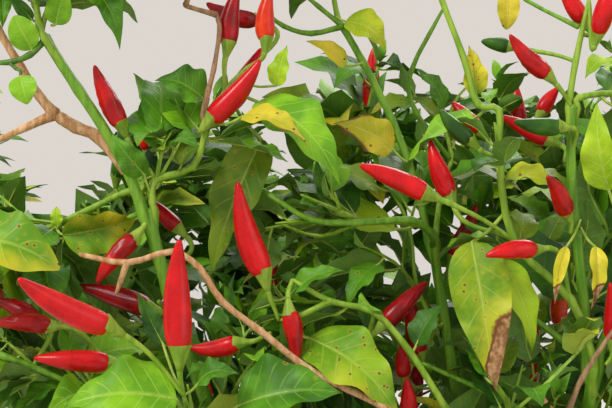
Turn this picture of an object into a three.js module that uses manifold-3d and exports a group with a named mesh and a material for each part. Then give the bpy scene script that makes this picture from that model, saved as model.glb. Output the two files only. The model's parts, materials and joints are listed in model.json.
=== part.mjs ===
// A chilli pepper plant, rooted in the ground: a forked stem, foliage masses and upright red fruits.
// Millimetres, +Z up, origin at the middle of the flat cut under the main stem.
// The plant is first seen from -Y, so +X is to the right and +Y is away from the viewer.

import * as THREE from "three";
import { mergeVertices } from "three/addons/utils/BufferGeometryUtils.js";
import Module from "manifold-3d";

const wasm = await Module();
wasm.setup();

// Driving dimensions
const jointGap = 0.3; // clear space where one limb meets the next
const sideGap = 0.25; // clear space between two limbs that leave the same fork
const keepOff = 1.2; // how far leaves and twigs stay from a limb
const ownKeepOff = 0.4; // how far leaves, twigs and fruits of one mass stay from each other
const ownStart = 0.35; // share of a twig near its own root that may touch its mass
const cellMargin = 0.5; // half of the clear space between two foliage masses
const tipSwell = 1.12; // swollen node at the tip of each limb
const skirtLift = 0.8; // rise of the low stems where they leave the trunk
const flare = { radius: 12.5, height: 9, lobes: 4, depth: 0.16 }; // root flare at the foot
const limbSides = 6;
const limbRings = 5;
const trunkSides = 12;
const trunkRings = 7;
const twigSides = 3;
const weldStep = 1e-4;
const tidyStep = 0.12; // faces flatter and edges shorter than this are merged after fusing
const seedStep = { mass: 977, order: 31, node: 7 }; // apart enough that no two nodes draw alike
const rootStep = { shoot: 1.6, leaf: 3.4 }; // how far below a node a side shoot and each leaf are rooted
const leafRodRadius = 1; // half the thickness of the space that a leaf keeps to itself
const handLeafRoom = 0.13; // the same for a leaf placed by hand, as a share of its width
const handTip = 0.8; // radius at the tip of a stem or twig placed by hand, as a share of the rule's
const handTwig = 0.85; // radius at the root of such a twig, as a share of its stem's

// Growth rule: every shoot forks at its nodes, and each node bears a leaf and perhaps a fruit
const rule = {
  internode: 25,
  spread: 0.4,
  shrink: 0.84, // internodes of each finer order
  fork: 0.46, // half of the fork angle, in radians
  turn: 2.2, // turn of the fork plane from node to node, in radians
  rise: 0.16, // bend towards the light at each node
  steps: [3, 3], // internodes of each order
  radius: [1.3, 1.0],
  taper: 0.3, // loss of radius along a shoot
  finest: 1,
};
const leafRule = {
  length: 43,
  spread: 0.35,
  wide: 0.48, // width as a share of the length
  widest: 0.46, // where along the length
  rib: 0.3, // where the blade is thickest, as a share of the length
  thick: 0.034,
  thinnest: 0.9,
  sunk: 0.6, // how far the root goes past the middle of its twig
  fold: 0.22, // rise of the edges over half of the width
  arch: 0.1, // rise of the middle over the length
  droop: 0.35, // spread of the lift, downwards
  atNode: 2, // leaves at a node
  atTip: 3, // and at the last node of a shoot
  follow: 0.45, // how far a leaf leans along its twig
  raise: 0.25, // steepest lift of a leaf
  wander: 0.5, // how far its place round the twig strays
  margin: 0.6, // half of the thickness that must lie inside the mass
  turns: [0, 0.4, -0.4, 0.8, -0.8, 1.2, -1.2], // turned round its twig until it finds room
};
const fruitRule = {
  chance: 0.3, // share of the nodes that bear a fruit
  length: 27,
  spread: 0.4,
  radius: 4.8, // at the shoulder of a long fruit
  slim: 2.2, // radius of the shortest fruit
  swell: 0.075, // growth of the radius with the length
  shoulder: 0.24, // where the fruit is widest, as a share of its length
  calyx: 2.4,
  foot: 1,
  pedicel: 17,
  apart: 0.8, // how far the pedicel leans away from the side shoot
  lean: 0.7, // spread of the lean of a fruit
  upright: 0.3, // share of the fruits that lean inwards
  follow: 0.35, // how far a fruit leans along its twig
  sides: 4,
  room: { tip: 1, neck: 3, side: 4 }, // free radius that a fruit needs
  turns: [0, 1.3, -1.3], // turned round its twig until it finds room
};

// Limbs: each leaves the tip of another and runs to a point, where it heads the given way
const limbs = {
  "trunk": {
    to: [4, -4, 128], heading: [0.1, -0.08, 1], radii: [7.4, 6.8],
  },
  "bough-left-low": {
    from: "trunk", to: [-38, -52, 230], heading: [-0.3, -0.4, 1], radii: [3.9, 3.3],
  },
  "bough-left-mid": {
    from: "bough-left-low", to: [-79, -106, 376], heading: [-0.24, 0, 1], radii: [2.8, 2.4],
  },
  "bough-left-leader": {
    from: "bough-left-mid", to: [-116, -112, 441], heading: [-0.5, 0, 0.87], radii: [2.1, 1.8],
  },
  "bough-left-side": {
    from: "bough-left-low", to: [-120, -26, 308], heading: [-0.8, 0.1, 0.8], radii: [2.3, 1.9],
  },
  "bough-front": {
    from: "bough-left-low", to: [-52, -128, 280], heading: [-0.1, -0.5, 0.85], radii: [2.4, 2],
  },
  "bough-right-low": {
    from: "trunk", to: [40, -36, 212], heading: [0.35, -0.3, 1], radii: [3.9, 3.4],
  },
  "bough-front-right": {
    from: "bough-right-low", to: [46, -94, 278], heading: [0, -0.4, 0.9], radii: [2.4, 2],
  },
  "bough-middle": {
    from: "bough-right-low", to: [31, -64, 364], heading: [-0.12, 0.05, 1], radii: [2.3, 1.9],
  },
  "bough-middle-leader": {
    from: "bough-middle", to: [-5, -56, 452], heading: [-0.5, 0, 0.85], radii: [1.6, 1.4],
  },
  "bough-right-mid": {
    from: "bough-right-low", to: [90, -90, 316], heading: [0, -0.1, 1], radii: [2.8, 2.4],
  },
  "bough-right-leader": {
    from: "bough-right-mid", to: [81, -98, 416], heading: [0.1, 0, 1], radii: [2, 1.7],
  },
  "bough-right-side": {
    from: "bough-right-mid", to: [136, -26, 352], heading: [0.5, 0.4, 0.9], radii: [2, 1.7],
  },
  "bough-back-low": {
    from: "trunk", to: [-14, 46, 208], heading: [-0.15, 0.4, 1], radii: [3.9, 3.4],
  },
  "bough-back-left": {
    from: "bough-back-low", to: [-86, 64, 292], heading: [-0.5, 0.2, 0.9], radii: [2.5, 2.1],
  },
  "bough-back-right": {
    from: "bough-back-low", to: [64, 88, 300], heading: [0.4, 0.2, 0.9], radii: [2.5, 2.1],
  },
  "bough-back": {
    from: "bough-back-low", to: [-16, 84, 322], heading: [0, 0.1, 1], radii: [2.3, 1.9],
  },
};

// Foliage masses: each fills a ball round its heart, cut back half way to the next ball.
// way: the points of a stem past its start. twigs: more axes, each from a node of the stem.
// Nodes count from the foot of the stem, and those of a twig from the stem.
const masses = {
  "foliage-left-leader": {
    from: "bough-left-leader", heart: [-138, -104, 480], reach: 52, seed: 11, radius: 1.5,
    way: [[-120, -112, 455], [-127, -108, 476]],
    twigs: [{ node: 1, way: [[-127, -110, 438], [-138, -106, 434]] }],
  },
  "foliage-left-tip": {
    from: "bough-left-leader", heart: [-92, -104, 482], reach: 50, seed: 12, radius: 1.4,
    way: [[-114, -112, 456], [-110, -110, 478]],
  },
  "foliage-centre-top": {
    from: "bough-left-mid", heart: [-44, -106, 426], reach: 52, seed: 13, radius: 1.5,
    way: [[-76, -105, 389], [-62, -106, 394], [-57, -106, 408], [-50, -106, 422], [-43, -105, 430]],
    fruits: [
      { node: 2, neck: [-89, -108, 410], tip: [-98, -112, 431] },
      { node: 4, neck: [-55, -110, 412], tip: [-37, -113, 433] },
      { node: 4, neck: [-49, -98, 417], tip: [-37, -96, 439] },
      { node: 5, neck: [-49, -107, 440], tip: [-45, -107, 461] },
      { node: 6, neck: [-35, -104, 442], tip: [-33, -104, 461] },
    ],
    leaves: [
      { node: 6, tip: [-27, -110, 439], wide: 9, face: [-0.4, -1, 0.1] },
      { node: 5, tip: [-8, -111, 389], wide: 23, face: [0.2, -0.8, 0.7] },
      { node: 4, tip: [-55, -100, 352], wide: 20, face: [-0.2, -1, 0.3] },
      { node: 4, tip: [-75, -108, 428], wide: 13, face: [0.1, -0.7, 0.8] },
    ],
  },
  "foliage-left-mid": {
    from: "bough-left-mid", heart: [-120, -92, 354], reach: 44, seed: 14, radius: 1.4,
    way: [[-86, -101, 385], [-102, -97, 378], [-116, -94, 372]],
    twigs: [{ node: 2, way: [[-98, -98, 405], [-115, -98, 414], [-137, -98, 447]] }],
    fruits: [{ node: 2, neck: [-84, -110, 367], tip: [-97, -113, 351] }],
    leaves: [
      { node: 3, tip: [-80, -92, 378], wide: 11, face: [0, -0.5, 0.9] },
      { node: 4, tip: [-122, -102, 346], wide: 20, face: [0, -0.9, 0.4] },
    ],
  },
  "foliage-front": {
    from: "bough-front", heart: [-68, -160, 336], reach: 42, seed: 15, radius: 1.6,
    way: [[-58, -150, 301], [-61, -164, 316]],
    fruits: [
      { node: 3, neck: [-62, -168, 332], tip: [-62, -169, 368] },
      { node: 3, neck: [-86, -172, 340], tip: [-112, -186, 356] },
    ],
  },
  "foliage-low-left": {
    from: "bough-front", heart: [-112, -116, 312], reach: 46, seed: 16, radius: 1.6,
    way: [[-78, -122, 302], [-97, -119, 311], [-120, -116, 320]],
    fruits: [
      { node: 2, neck: [-92, -126, 323], tip: [-117, -130, 325] },
      { node: 4, neck: [-120, -112, 337], tip: [-136, -106, 344] },
    ],
  },
  "foliage-centre-low": {
    from: "bough-front-right", heart: [-8, -114, 340], reach: 44, seed: 17, radius: 1.5,
    way: [[32, -108, 304], [18, -110, 326], [5, -110, 340], [-11, -110, 344], [-25, -111, 352]],
    twigs: [{ node: 5, way: [[-24, -111, 338], [-30, -111, 337]] }],
    fruits: [
      { node: 6, neck: [-26, -115, 340], tip: [-24, -117, 321] },
      { twig: 0, node: 2, neck: [-36, -113, 355], tip: [-45, -114, 388] },
      { node: 4, neck: [10, -98, 335], tip: [26, -92, 350] },
    ],
  },
  "dry-twig-front": {
    from: "bough-front-right", heart: [-60, -132, 352], reach: 40, seed: 18, radius: 1.4, bare: true,
    way: [[12, -119, 304], [-5, -122, 313], [-20, -124, 321], [-36, -126, 334], [-50, -128, 345],
      [-58, -129, 357], [-68, -130, 363], [-84, -130, 359], [-101, -129, 362]],
    twigs: [{ node: 9, way: [[-88, -128, 348]] }],
  },
  "foliage-right-low": {
    from: "bough-front-right", heart: [60, -116, 306], reach: 50, seed: 19, radius: 1.5,
    way: [[56, -106, 302], [48, -112, 316]],
  },
  "foliage-right-mid": {
    from: "bough-right-mid", heart: [44, -106, 402], reach: 50, seed: 20, radius: 1.7,
    way: [[80, -99, 344], [58, -103, 366], [52, -106, 397], [52, -106, 415], [44, -106, 417], [39, -106, 434],
      [30, -106, 458], [25, -106, 476]],
    fruits: [
      { node: 3, neck: [24, -113, 384], tip: [0, -117, 394] },
      { node: 3, neck: [34, -100, 384], tip: [27, -99, 404] },
      { node: 4, neck: [41, -107, 404], tip: [30, -108, 415] },
      { node: 2, neck: [64, -110, 363], tip: [46, -116, 361] },
    ],
    leaves: [
      { node: 3, tip: [50, -114, 312], wide: 25, face: [-0.1, -1, 0.1] },
      { node: 4, tip: [72, -112, 385], wide: 12, face: [0, -0.6, 0.8] },
    ],
  },
  "foliage-right-top": {
    from: "bough-right-leader", heart: [90, -98, 472], reach: 50, seed: 21, radius: 1.4,
    way: [[82, -98, 434], [87, -98, 457]],
    fruits: [
      { node: 2, neck: [70, -103, 429], tip: [56, -107, 443] },
      { node: 3, neck: [90, -102, 445], tip: [95, -106, 465] },
    ],
  },
  "foliage-right-outer": {
    from: "bough-right-leader", heart: [122, -92, 416], reach: 46, seed: 22, radius: 1.4,
  },
  "foliage-middle": {
    from: "bough-middle", heart: [-22, -84, 380], reach: 38, seed: 23, radius: 1.4,
    way: [[19, -82, 373], [0, -92, 373], [-18, -96, 374], [-31, -92, 382]],
  },
  "foliage-middle-back": {
    from: "bough-middle", heart: [42, -34, 400], reach: 46, seed: 24, radius: 1.3,
  },
  "foliage-middle-top": {
    from: "bough-middle-leader", heart: [-8, -54, 486], reach: 46, seed: 25, radius: 1.2,
  },
  "foliage-left-side": {
    from: "bough-left-side", heart: [-168, -46, 312], reach: 62, seed: 276, radius: 1.6,
  },
  "foliage-left-back": {
    from: "bough-left-side", heart: [-176, 20, 378], reach: 64, seed: 27, radius: 1.6,
  },
  "foliage-right-side": {
    from: "bough-right-side", heart: [172, -46, 342], reach: 62, seed: 228, radius: 1.5,
  },
  "foliage-right-back": {
    from: "bough-right-side", heart: [166, 26, 416], reach: 64, seed: 279, radius: 1.5,
  },
  "foliage-back-left-low": {
    from: "bough-back-left", heart: [-138, 92, 296], reach: 64, seed: 180, radius: 1.6,
  },
  "foliage-back-left": {
    from: "bough-back-left", heart: [-88, 92, 376], reach: 62, seed: 31, radius: 1.6,
  },
  "foliage-back-right-low": {
    from: "bough-back-right", heart: [124, 92, 300], reach: 62, seed: 332, radius: 1.6,
  },
  "foliage-back-right": {
    from: "bough-back-right", heart: [84, 84, 384], reach: 66, seed: 633, radius: 1.6,
  },
  "foliage-back": {
    from: "bough-back", heart: [-24, 150, 332], reach: 66, seed: 34, radius: 1.5,
  },
  "foliage-crown": {
    from: "bough-back", heart: [2, 42, 396], reach: 62, seed: 235, radius: 1.5,
  },
  "foliage-inner": {
    from: "bough-back", heart: [-22, -6, 316], reach: 44, seed: 40, radius: 1.4,
  },
  "foliage-skirt-front": {
    from: "trunk", height: 96, heart: [4, -106, 214], reach: 60, seed: 36, radius: 1.7,
  },
  "foliage-skirt-right": {
    from: "trunk", height: 84, heart: [110, 4, 214], reach: 64, seed: 37, radius: 1.8,
  },
  "foliage-skirt-back": {
    from: "trunk", height: 100, heart: [10, 114, 212], reach: 60, seed: 38, radius: 1.7,
  },
  "foliage-skirt-left": {
    from: "trunk", height: 76, heart: [-110, 10, 212], reach: 56, seed: 739, radius: 1.8,
  },
  "foliage-skirt-front-left": {
    from: "trunk", height: 82, heart: [-84, -86, 210], reach: 57, seed: 41, radius: 1.6,
  },
  "foliage-skirt-front-right": {
    from: "trunk", height: 72, heart: [86, -86, 210], reach: 57, seed: 192, radius: 1.6,
  },
  "foliage-skirt-back-left": {
    from: "trunk", height: 90, heart: [-80, 92, 214], reach: 57, seed: 193, radius: 1.6,
  },
  "foliage-skirt-back-right": {
    from: "trunk", height: 80, heart: [88, 92, 212], reach: 57, seed: 44, radius: 1.6,
  },
};

const up = new THREE.Vector3(0, 0, 1);
const vector = (xyz) => new THREE.Vector3(...xyz);
const along = (a, b) => b.clone().sub(a).normalize();
const moved = (point, direction, length) => point.clone().addScaledVector(direction, length);

// The direction of a weighted sum of directions
function mixed(...pairs) {
  const sum = new THREE.Vector3();
  pairs.forEach(([direction, share]) => sum.addScaledVector(direction, share));
  return sum.normalize();
}

// The same run of numbers from 0 to 1 for the same seed
function seeded(seed) {
  let state = seed | 0;
  return () => {
    state = (state + 0x6d2b79f5) | 0;
    let t = Math.imul(state ^ (state >>> 15), 1 | state);
    t = (t + Math.imul(t ^ (t >>> 7), 61 | t)) ^ t;
    return ((t ^ (t >>> 14)) >>> 0) / 4294967296;
  };
}

// A direction square to the given one
function squareTo(direction) {
  const helper = Math.abs(direction.z) < 0.8 ? up : new THREE.Vector3(0, 1, 0);
  return helper.clone().cross(direction).normalize();
}

// A solid swept through rings of the given radii: a lathe whose height counts rings, laid along the points
function sweep(points, radii, sides, tangents, shape = () => 1) {
  const last = points.length - 1;
  const profile = [new THREE.Vector2(0, 0)];
  radii.forEach((radius, ring) => profile.push(new THREE.Vector2(radius, ring)));
  if (radii[last] > 0) {
    profile.push(new THREE.Vector2(0, last));
  }
  const geometry = new THREE.LatheGeometry(profile, sides);
  const between = (_, i) => along(points[Math.max(i - 1, 0)], points[Math.min(i + 1, last)]);
  const ways = tangents ?? points.map(between);
  let normal = squareTo(ways[0]);
  const frames = points.map((point, ring) => {
    const ahead = ways[ring];
    normal = moved(normal, ahead, -normal.dot(ahead)).normalize();
    return { point, normal, across: normal.clone().cross(ahead) };
  });
  const position = geometry.attributes.position;
  for (let i = 0; i < position.count; i += 1) {
    const ring = Math.round(position.getY(i));
    const frame = frames[ring];
    const size = shape(ring, Math.atan2(position.getZ(i), position.getX(i)));
    const vertex = moved(frame.point, frame.normal, position.getX(i) * size);
    vertex.addScaledVector(frame.across, position.getZ(i) * size);
    position.setXYZ(i, vertex.x, vertex.y, vertex.z);
  }
  return geometry;
}

// A closed solid from a geometry whose faces share their corners
function solidOf(geometry) {
  geometry.deleteAttribute("normal");
  geometry.deleteAttribute("uv");
  const welded = mergeVertices(geometry, weldStep);
  const corners = welded.index.array;
  const triangles = [];
  for (let i = 0; i < corners.length; i += 3) {
    const [a, b, c] = corners.subarray(i, i + 3);
    if (a !== b && b !== c && c !== a) {
      triangles.push(a, b, c);
    }
  }
  return new wasm.Manifold(
    new wasm.Mesh({
      numProp: 3,
      vertProperties: new Float32Array(welded.attributes.position.array),
      triVerts: new Uint32Array(triangles),
    }),
  );
}

function geometryOf(solid) {
  const mesh = solid.getMesh();
  const geometry = new THREE.BufferGeometry();
  geometry.setAttribute("position", new THREE.BufferAttribute(mesh.vertProperties, 3));
  geometry.setIndex(new THREE.BufferAttribute(mesh.triVerts, 1));
  return geometry;
}

const radiusAt = (limb, share) => THREE.MathUtils.lerp(limb.radii[0], limb.radii[1], share);

// Where each child of a fork stands round the parent's tip, so that none touches another
function forkStarts(tip, heading, children) {
  const normal = squareTo(heading);
  const across = heading.clone().cross(normal);
  const placed = children.map((child) => {
    const way = along(tip, child.aim);
    return { child, angle: Math.atan2(way.dot(across), way.dot(normal)) };
  });
  placed.sort((a, b) => a.angle - b.angle);
  const count = placed.length;
  const widest = Math.max(...children.map((child) => child.radius));
  const offset = count > 1 ? (widest + sideGap) / Math.sin(Math.PI / count) : 0;
  const first = placed.reduce((sum, item, i) => sum + item.angle - (i * 2 * Math.PI) / count, 0) / count;
  const starts = new Map();
  placed.forEach((item, i) => {
    const angle = first + (i * 2 * Math.PI) / count;
    const side = mixed([normal, Math.cos(angle)], [across, Math.sin(angle)]);
    starts.set(item.child.name, moved(moved(tip, heading, jointGap), side, offset));
  });
  return starts;
}

// Lays out every limb and the foot of every mass's stem, from the trunk outwards
function layOut() {
  const tips = {};
  const starts = new Map([["trunk", new THREE.Vector3()]]);
  for (const [name, limb] of Object.entries(limbs)) {
    const start = starts.get(name);
    const leave = limb.from ? tips[limb.from].heading : up;
    const end = vector(limb.to);
    const heading = vector(limb.heading).normalize();
    const pull = start.distanceTo(end) / 3;
    const handles = [moved(start, leave, pull), moved(end, heading, -pull)];
    limb.curve = new THREE.CubicBezierCurve3(start, ...handles, end);
    tips[name] = { point: end, heading };
    const children = [];
    for (const [child, spec] of Object.entries(limbs)) {
      if (spec.from === name) {
        children.push({ name: child, aim: vector(spec.to), radius: spec.radii[0] });
      }
    }
    for (const [child, spec] of Object.entries(masses)) {
      if (spec.from === name && !spec.height) {
        children.push({ name: child, aim: vector(spec.way ? spec.way[0] : spec.heart), radius: spec.radius });
      }
    }
    forkStarts(end, heading, children).forEach((point, child) => starts.set(child, point));
  }
  for (const [name, mass] of Object.entries(masses)) {
    mass.center = vector(mass.heart);
    if (mass.height) {
      const share = mass.height / limbs.trunk.to[2];
      const axis = limbs.trunk.curve.getPoint(share);
      const outward = new THREE.Vector3(mass.heart[0] - axis.x, mass.heart[1] - axis.y, 0).normalize();
      mass.leave = mixed([outward, 1], [up, skirtLift]);
      const edge = mass.radius * Math.cos(Math.PI / twigSides) * mass.leave.z;
      mass.start = moved(axis, outward, radiusAt(limbs.trunk, share) + jointGap + edge);
    } else {
      mass.start = starts.get(name);
      mass.leave = tips[mass.from].heading;
    }
  }
}

// The stem of a mass: its own points, or an even curve from its foot to its heart
function stemPoints(mass) {
  const lead = 4; // straight first part of a stem
  const lift = 0.35; // bend of its end towards the light
  const points = [mass.start, moved(mass.start, mass.leave, lead)];
  if (mass.way) {
    return points.concat(mass.way.map(vector));
  }
  const far = points[1].distanceTo(mass.center);
  const outward = mixed([along(points[1], mass.center), 1], [up, lift]);
  const bend = new THREE.CubicBezierCurve3(
    points[1],
    moved(points[1], mass.leave, far / 3),
    moved(mass.center, outward, -far / 3),
    mass.center,
  );
  const count = Math.max(2, Math.round(far / rule.internode));
  for (let i = 1; i <= count; i += 1) {
    points.push(bend.getPoint(i / count));
  }
  return points;
}

// Shortest distance between the segments ab and cd
function segmentGap(a, b, c, d) {
  const u = b.clone().sub(a);
  const w = d.clone().sub(c);
  const r = a.clone().sub(c);
  const uu = u.dot(u);
  const ww = w.dot(w);
  const uw = u.dot(w);
  const ur = u.dot(r);
  const wr = w.dot(r);
  const clamp = THREE.MathUtils.clamp;
  const det = uu * ww - uw * uw;
  let s = det > 1e-9 ? clamp((uw * wr - ww * ur) / det, 0, 1) : 0;
  const t = clamp((uw * s + wr) / ww, 0, 1);
  s = clamp((uw * t - ur) / uu, 0, 1);
  return moved(a, u, s).distanceTo(moved(c, w, t));
}

// Rods that nothing grown may touch: limbs, twigs, fruits and the lines along leaves, each with its owner
const rods = [];
function addRods(points, radii, owner) {
  for (let i = 1; i < points.length; i += 1) {
    rods.push({ a: points[i - 1], b: points[i], radius: Math.max(radii[i - 1], radii[i]), owner });
  }
}

// True if the segment stays off every limb and every other mass, and touches nothing of its own
function clearOf(name, a, b, radius) {
  const owned = a.clone().lerp(b, ownStart);
  return rods.every((rod) => {
    const own = rod.owner === name;
    return segmentGap(own ? owned : a, b, rod.a, rod.b) > rod.radius + radius + (own ? ownKeepOff : keepOff);
  });
}

// True if a ball of this radius round the point lies in the space of the mass
function holds(name, point, radius) {
  const mass = masses[name];
  const power = (other) => point.distanceToSquared(other.center) - other.reach ** 2;
  const own = power(mass);
  if (own > 0) {
    return false;
  }
  return Object.entries(masses).every(([other, spec]) => {
    const apart = 2 * mass.center.distanceTo(spec.center);
    return other === name || power(spec) - own > apart * (radius + cellMargin);
  });
}

// A leaf's corners: root, tip, the two sides and the midrib between them
function leafShape(root, tip, wide, face) {
  const way = along(root, tip);
  const length = root.distanceTo(tip);
  const normal = moved(face, way, -face.dot(way)).normalize();
  const side = normal.clone().cross(way);
  const lift = length * leafRule.arch;
  const middle = moved(moved(root, way, length * leafRule.widest), normal, lift);
  const edge = moved(middle, normal, (wide / 2) * leafRule.fold);
  return {
    root, tip, way, normal, length,
    left: moved(edge, side, wide / 2),
    right: moved(edge, side, -wide / 2),
    rib: moved(moved(root, way, length * leafRule.rib), normal, lift),
    wide,
  };
}

// The lines along a leaf that are tested against the rods
function leafLines(leaf) {
  const petiole = 0.12; // share of a leaf that may touch its twig
  const quarter = (edge) => leaf.rib.clone().lerp(edge, 0.5);
  return [leaf.left, quarter(leaf.left), leaf.rib, quarter(leaf.right), leaf.right].flatMap((middle) => [
    [moved(leaf.root, leaf.way, leaf.length * petiole), middle],
    [middle, leaf.tip],
  ]);
}

// The lathe rings of a fruit on its pedicel: foot, calyx, shoulder and tip
function fruitShape(foot, neck, tip) {
  const way = along(neck, tip);
  const length = neck.distanceTo(tip);
  const fat = Math.min(fruitRule.radius, fruitRule.slim + length * fruitRule.swell);
  return {
    points: [foot, neck, moved(neck, way, fruitRule.shoulder * length), tip],
    radii: [fruitRule.foot, fruitRule.calyx, fat, 0],
  };
}

const taper = (count, from, to) =>
  Array.from({ length: count }, (_, i) => THREE.MathUtils.lerp(from, to, i / (count - 1)));

// Places what a mass has by hand: its stem, its own twigs, fruits and leaves
function placeByHand(name) {
  const mass = masses[name];
  const stem = stemPoints(mass);
  mass.axes = [{ points: stem, radii: taper(stem.length, mass.radius, rule.radius[0] * handTip) }];
  for (const { node, way } of mass.twigs ?? []) {
    const points = [stem[node], ...way.map(vector)];
    const radii = taper(points.length, mass.radius * handTwig, rule.radius[1] * handTip);
    mass.axes.push({ points, radii });
  }
  const rootOf = ({ twig, node }) => (twig === undefined ? stem : mass.axes[twig + 1].points)[node];
  mass.fruitShapes = (mass.fruits ?? []).map((fruit) =>
    fruitShape(rootOf(fruit), vector(fruit.neck), vector(fruit.tip)),
  );
  mass.leafShapes = (mass.leaves ?? []).map((leaf) =>
    leafShape(rootOf(leaf), vector(leaf.tip), leaf.wide, vector(leaf.face)),
  );
  mass.axes.forEach((axis) => addRods(axis.points, axis.radii, name));
  mass.fruitShapes.forEach((fruit) => addRods(fruit.points, fruit.radii, name));
  mass.leafShapes.forEach((leaf) => {
    leafLines(leaf).forEach(([a, b]) => rods.push({ a, b, radius: leaf.wide * handLeafRoom, owner: name }));
  });
}

// Grows one shoot by the rule, and the shoots, leaves and fruits at its nodes
function grow(name, start, heading, order, seed) {
  const mass = masses[name];
  const draw = seeded(seed);
  const radius = rule.radius[order];
  const points = [start];
  const nodes = [];
  let way = heading.clone();
  let side = squareTo(way).applyAxisAngle(way, draw() * 2 * Math.PI);
  for (let step = 0; step < rule.steps[order]; step += 1) {
    const length = rule.internode * rule.shrink ** order * (1 + rule.spread * (draw() - 0.5));
    const end = moved(points[step], way, length);
    if (!holds(name, end, radius) || !clearOf(name, points[step], end, radius)) {
      break;
    }
    points.push(end);
    side = moved(side, way, -side.dot(way)).normalize().applyAxisAngle(way, rule.turn);
    nodes.push({ point: end, way, side, seed: seed * seedStep.order + step * seedStep.node + 1, order });
    way = mixed([way, Math.cos(rule.fork)], [side, -Math.sin(rule.fork)], [up, rule.rise]);
  }
  if (nodes.length > 0) {
    const radii = points.map((_, i) => radius * (1 - (rule.taper * i) / points.length));
    mass.axes.push({ points, radii });
    addRods(points, radii, name);
    nodes[nodes.length - 1].last = true;
    nodes.forEach((node) => dressNode(name, node));
  }
}

// At a node: a side shoot, a fruit and leaves, each left out if it has no room
function dressNode(name, node) {
  const mass = masses[name];
  const draw = seeded(node.seed);
  const branch = mixed([node.way, Math.cos(rule.fork)], [node.side, Math.sin(rule.fork)], [up, rule.rise]);
  const bears = draw() < fruitRule.chance;
  const fruitLength = fruitRule.length * (1 + fruitRule.spread * (draw() - 0.5));
  const lean = fruitRule.lean * (draw() - fruitRule.upright);
  if (bears) {
    fruitRule.turns.some((turn) => {
      const out = node.side.clone().applyAxisAngle(node.way, turn);
      const way = mixed([up, 1], [out, lean], [node.way, fruitRule.follow]);
      return addFruit(name, node, out, way, fruitLength);
    });
  }
  if (node.order < rule.finest) {
    grow(name, moved(node.point, node.way, -rootStep.shoot), branch, node.order + 1, node.seed);
  }
  const leafCount = node.last ? leafRule.atTip : leafRule.atNode;
  for (let i = 0; i < leafCount; i += 1) {
    const length = leafRule.length * (1 + leafRule.spread * (2 * draw() - 1));
    const lift = leafRule.raise - leafRule.droop * draw();
    const spin = (i * 2 * Math.PI) / leafCount + leafRule.wander * (draw() - 0.5);
    const root = moved(node.point, node.way, -rootStep.leaf * (i + 1));
    leafRule.turns.some((turn) => {
      const out = node.side.clone().negate().applyAxisAngle(node.way, spin + turn);
      const way = mixed([out, 1], [node.way, leafRule.follow], [up, lift]);
      const face = mixed([up, 1], [out, 0.1]);
      return addLeaf(name, leafShape(root, moved(root, way, length), length * leafRule.wide, face));
    });
  }
}

function addFruit(name, node, out, way, length) {
  const neck = moved(node.point, mixed([way, 1], [out, -fruitRule.apart]), fruitRule.pedicel);
  const tip = moved(neck, way, length);
  const { room } = fruitRule;
  const inside = holds(name, tip, room.tip) && holds(name, neck, room.neck);
  const fits = inside && clearOf(name, neck, tip, room.side);
  if (fits) {
    const fruit = fruitShape(node.point, neck, tip);
    masses[name].fruitShapes.push(fruit);
    addRods(fruit.points, fruit.radii, name);
  }
  return fits;
}

function addLeaf(name, leaf) {
  const corners = [leaf.tip, leaf.left, leaf.right, leaf.rib];
  const lines = leafLines(leaf);
  const inside = corners.every((corner) => holds(name, corner, leafRule.margin));
  const fits = inside && lines.every(([a, b]) => clearOf(name, a, b, 0));
  if (fits) {
    masses[name].leafShapes.push(leaf);
    lines.forEach(([a, b]) => rods.push({ a, b, radius: leafRodRadius, owner: name }));
  }
  return fits;
}

// A leaf is an octahedron drawn out from its root to its tip, hollowed along the midrib
function leafSolid(leaf) {
  const geometry = new THREE.OctahedronGeometry(1, 0);
  const position = geometry.attributes.position;
  const half = Math.max(leaf.length * leafRule.thick, leafRule.thinnest) / 2;
  const sunk = moved(leaf.root, leaf.way, -leafRule.sunk);
  for (let i = 0; i < position.count; i += 1) {
    const [x, y, z] = [position.getX(i), position.getY(i), position.getZ(i)];
    let corner = x > 0.5 ? leaf.tip : sunk;
    if (Math.abs(y) > 0.5) {
      corner = y > 0 ? leaf.left : leaf.right;
    } else if (Math.abs(z) > 0.5) {
      corner = moved(leaf.rib, leaf.normal, z > 0 ? half : -half);
    }
    position.setXYZ(i, corner.x, corner.y, corner.z);
  }
  return solidOf(geometry);
}

// One fused solid for each mass; sealed hollows are filled and loose scraps dropped with the smaller bodies
function massSolid(mass) {
  const pieces = mass.axes.map((axis) => solidOf(sweep(axis.points, axis.radii, twigSides)));
  mass.fruitShapes.forEach((fruit) => {
    pieces.push(solidOf(sweep(fruit.points, fruit.radii, fruitRule.sides)));
  });
  mass.leafShapes.forEach((leaf) => pieces.push(leafSolid(leaf)));
  const fused = wasm.Manifold.union(pieces).asOriginal().simplify(tidyStep);
  return fused.decompose().reduce((best, body) => (body.volume() > best.volume() ? body : best));
}

function limbGeometry(name, limb) {
  const isTrunk = name === "trunk";
  const crowdLow = 1.5; // gathers the trunk's rings at its flare
  const rings = isTrunk ? trunkRings : limbRings;
  const shares = Array.from({ length: rings + 1 }, (_, i) => (i / rings) ** (isTrunk ? crowdLow : 1));
  const points = shares.map((share) => limb.curve.getPoint(share));
  const tangents = shares.map((share) => limb.curve.getTangent(share));
  const swell = (share) => (share === 1 ? tipSwell : 1);
  const plain = shares.map((share) => radiusAt(limb, share) * swell(share));
  if (!isTrunk) {
    return sweep(points, plain, limbSides, tangents);
  }
  const flared = (i) => Math.exp(-points[i].z / flare.height);
  const radii = plain.map((radius, i) => radius + (flare.radius - limb.radii[0]) * flared(i));
  const lobed = (ring, angle) => 1 + flare.depth * flared(ring) * Math.cos(flare.lobes * angle);
  return sweep(points, radii, trunkSides, tangents, lobed);
}

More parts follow.
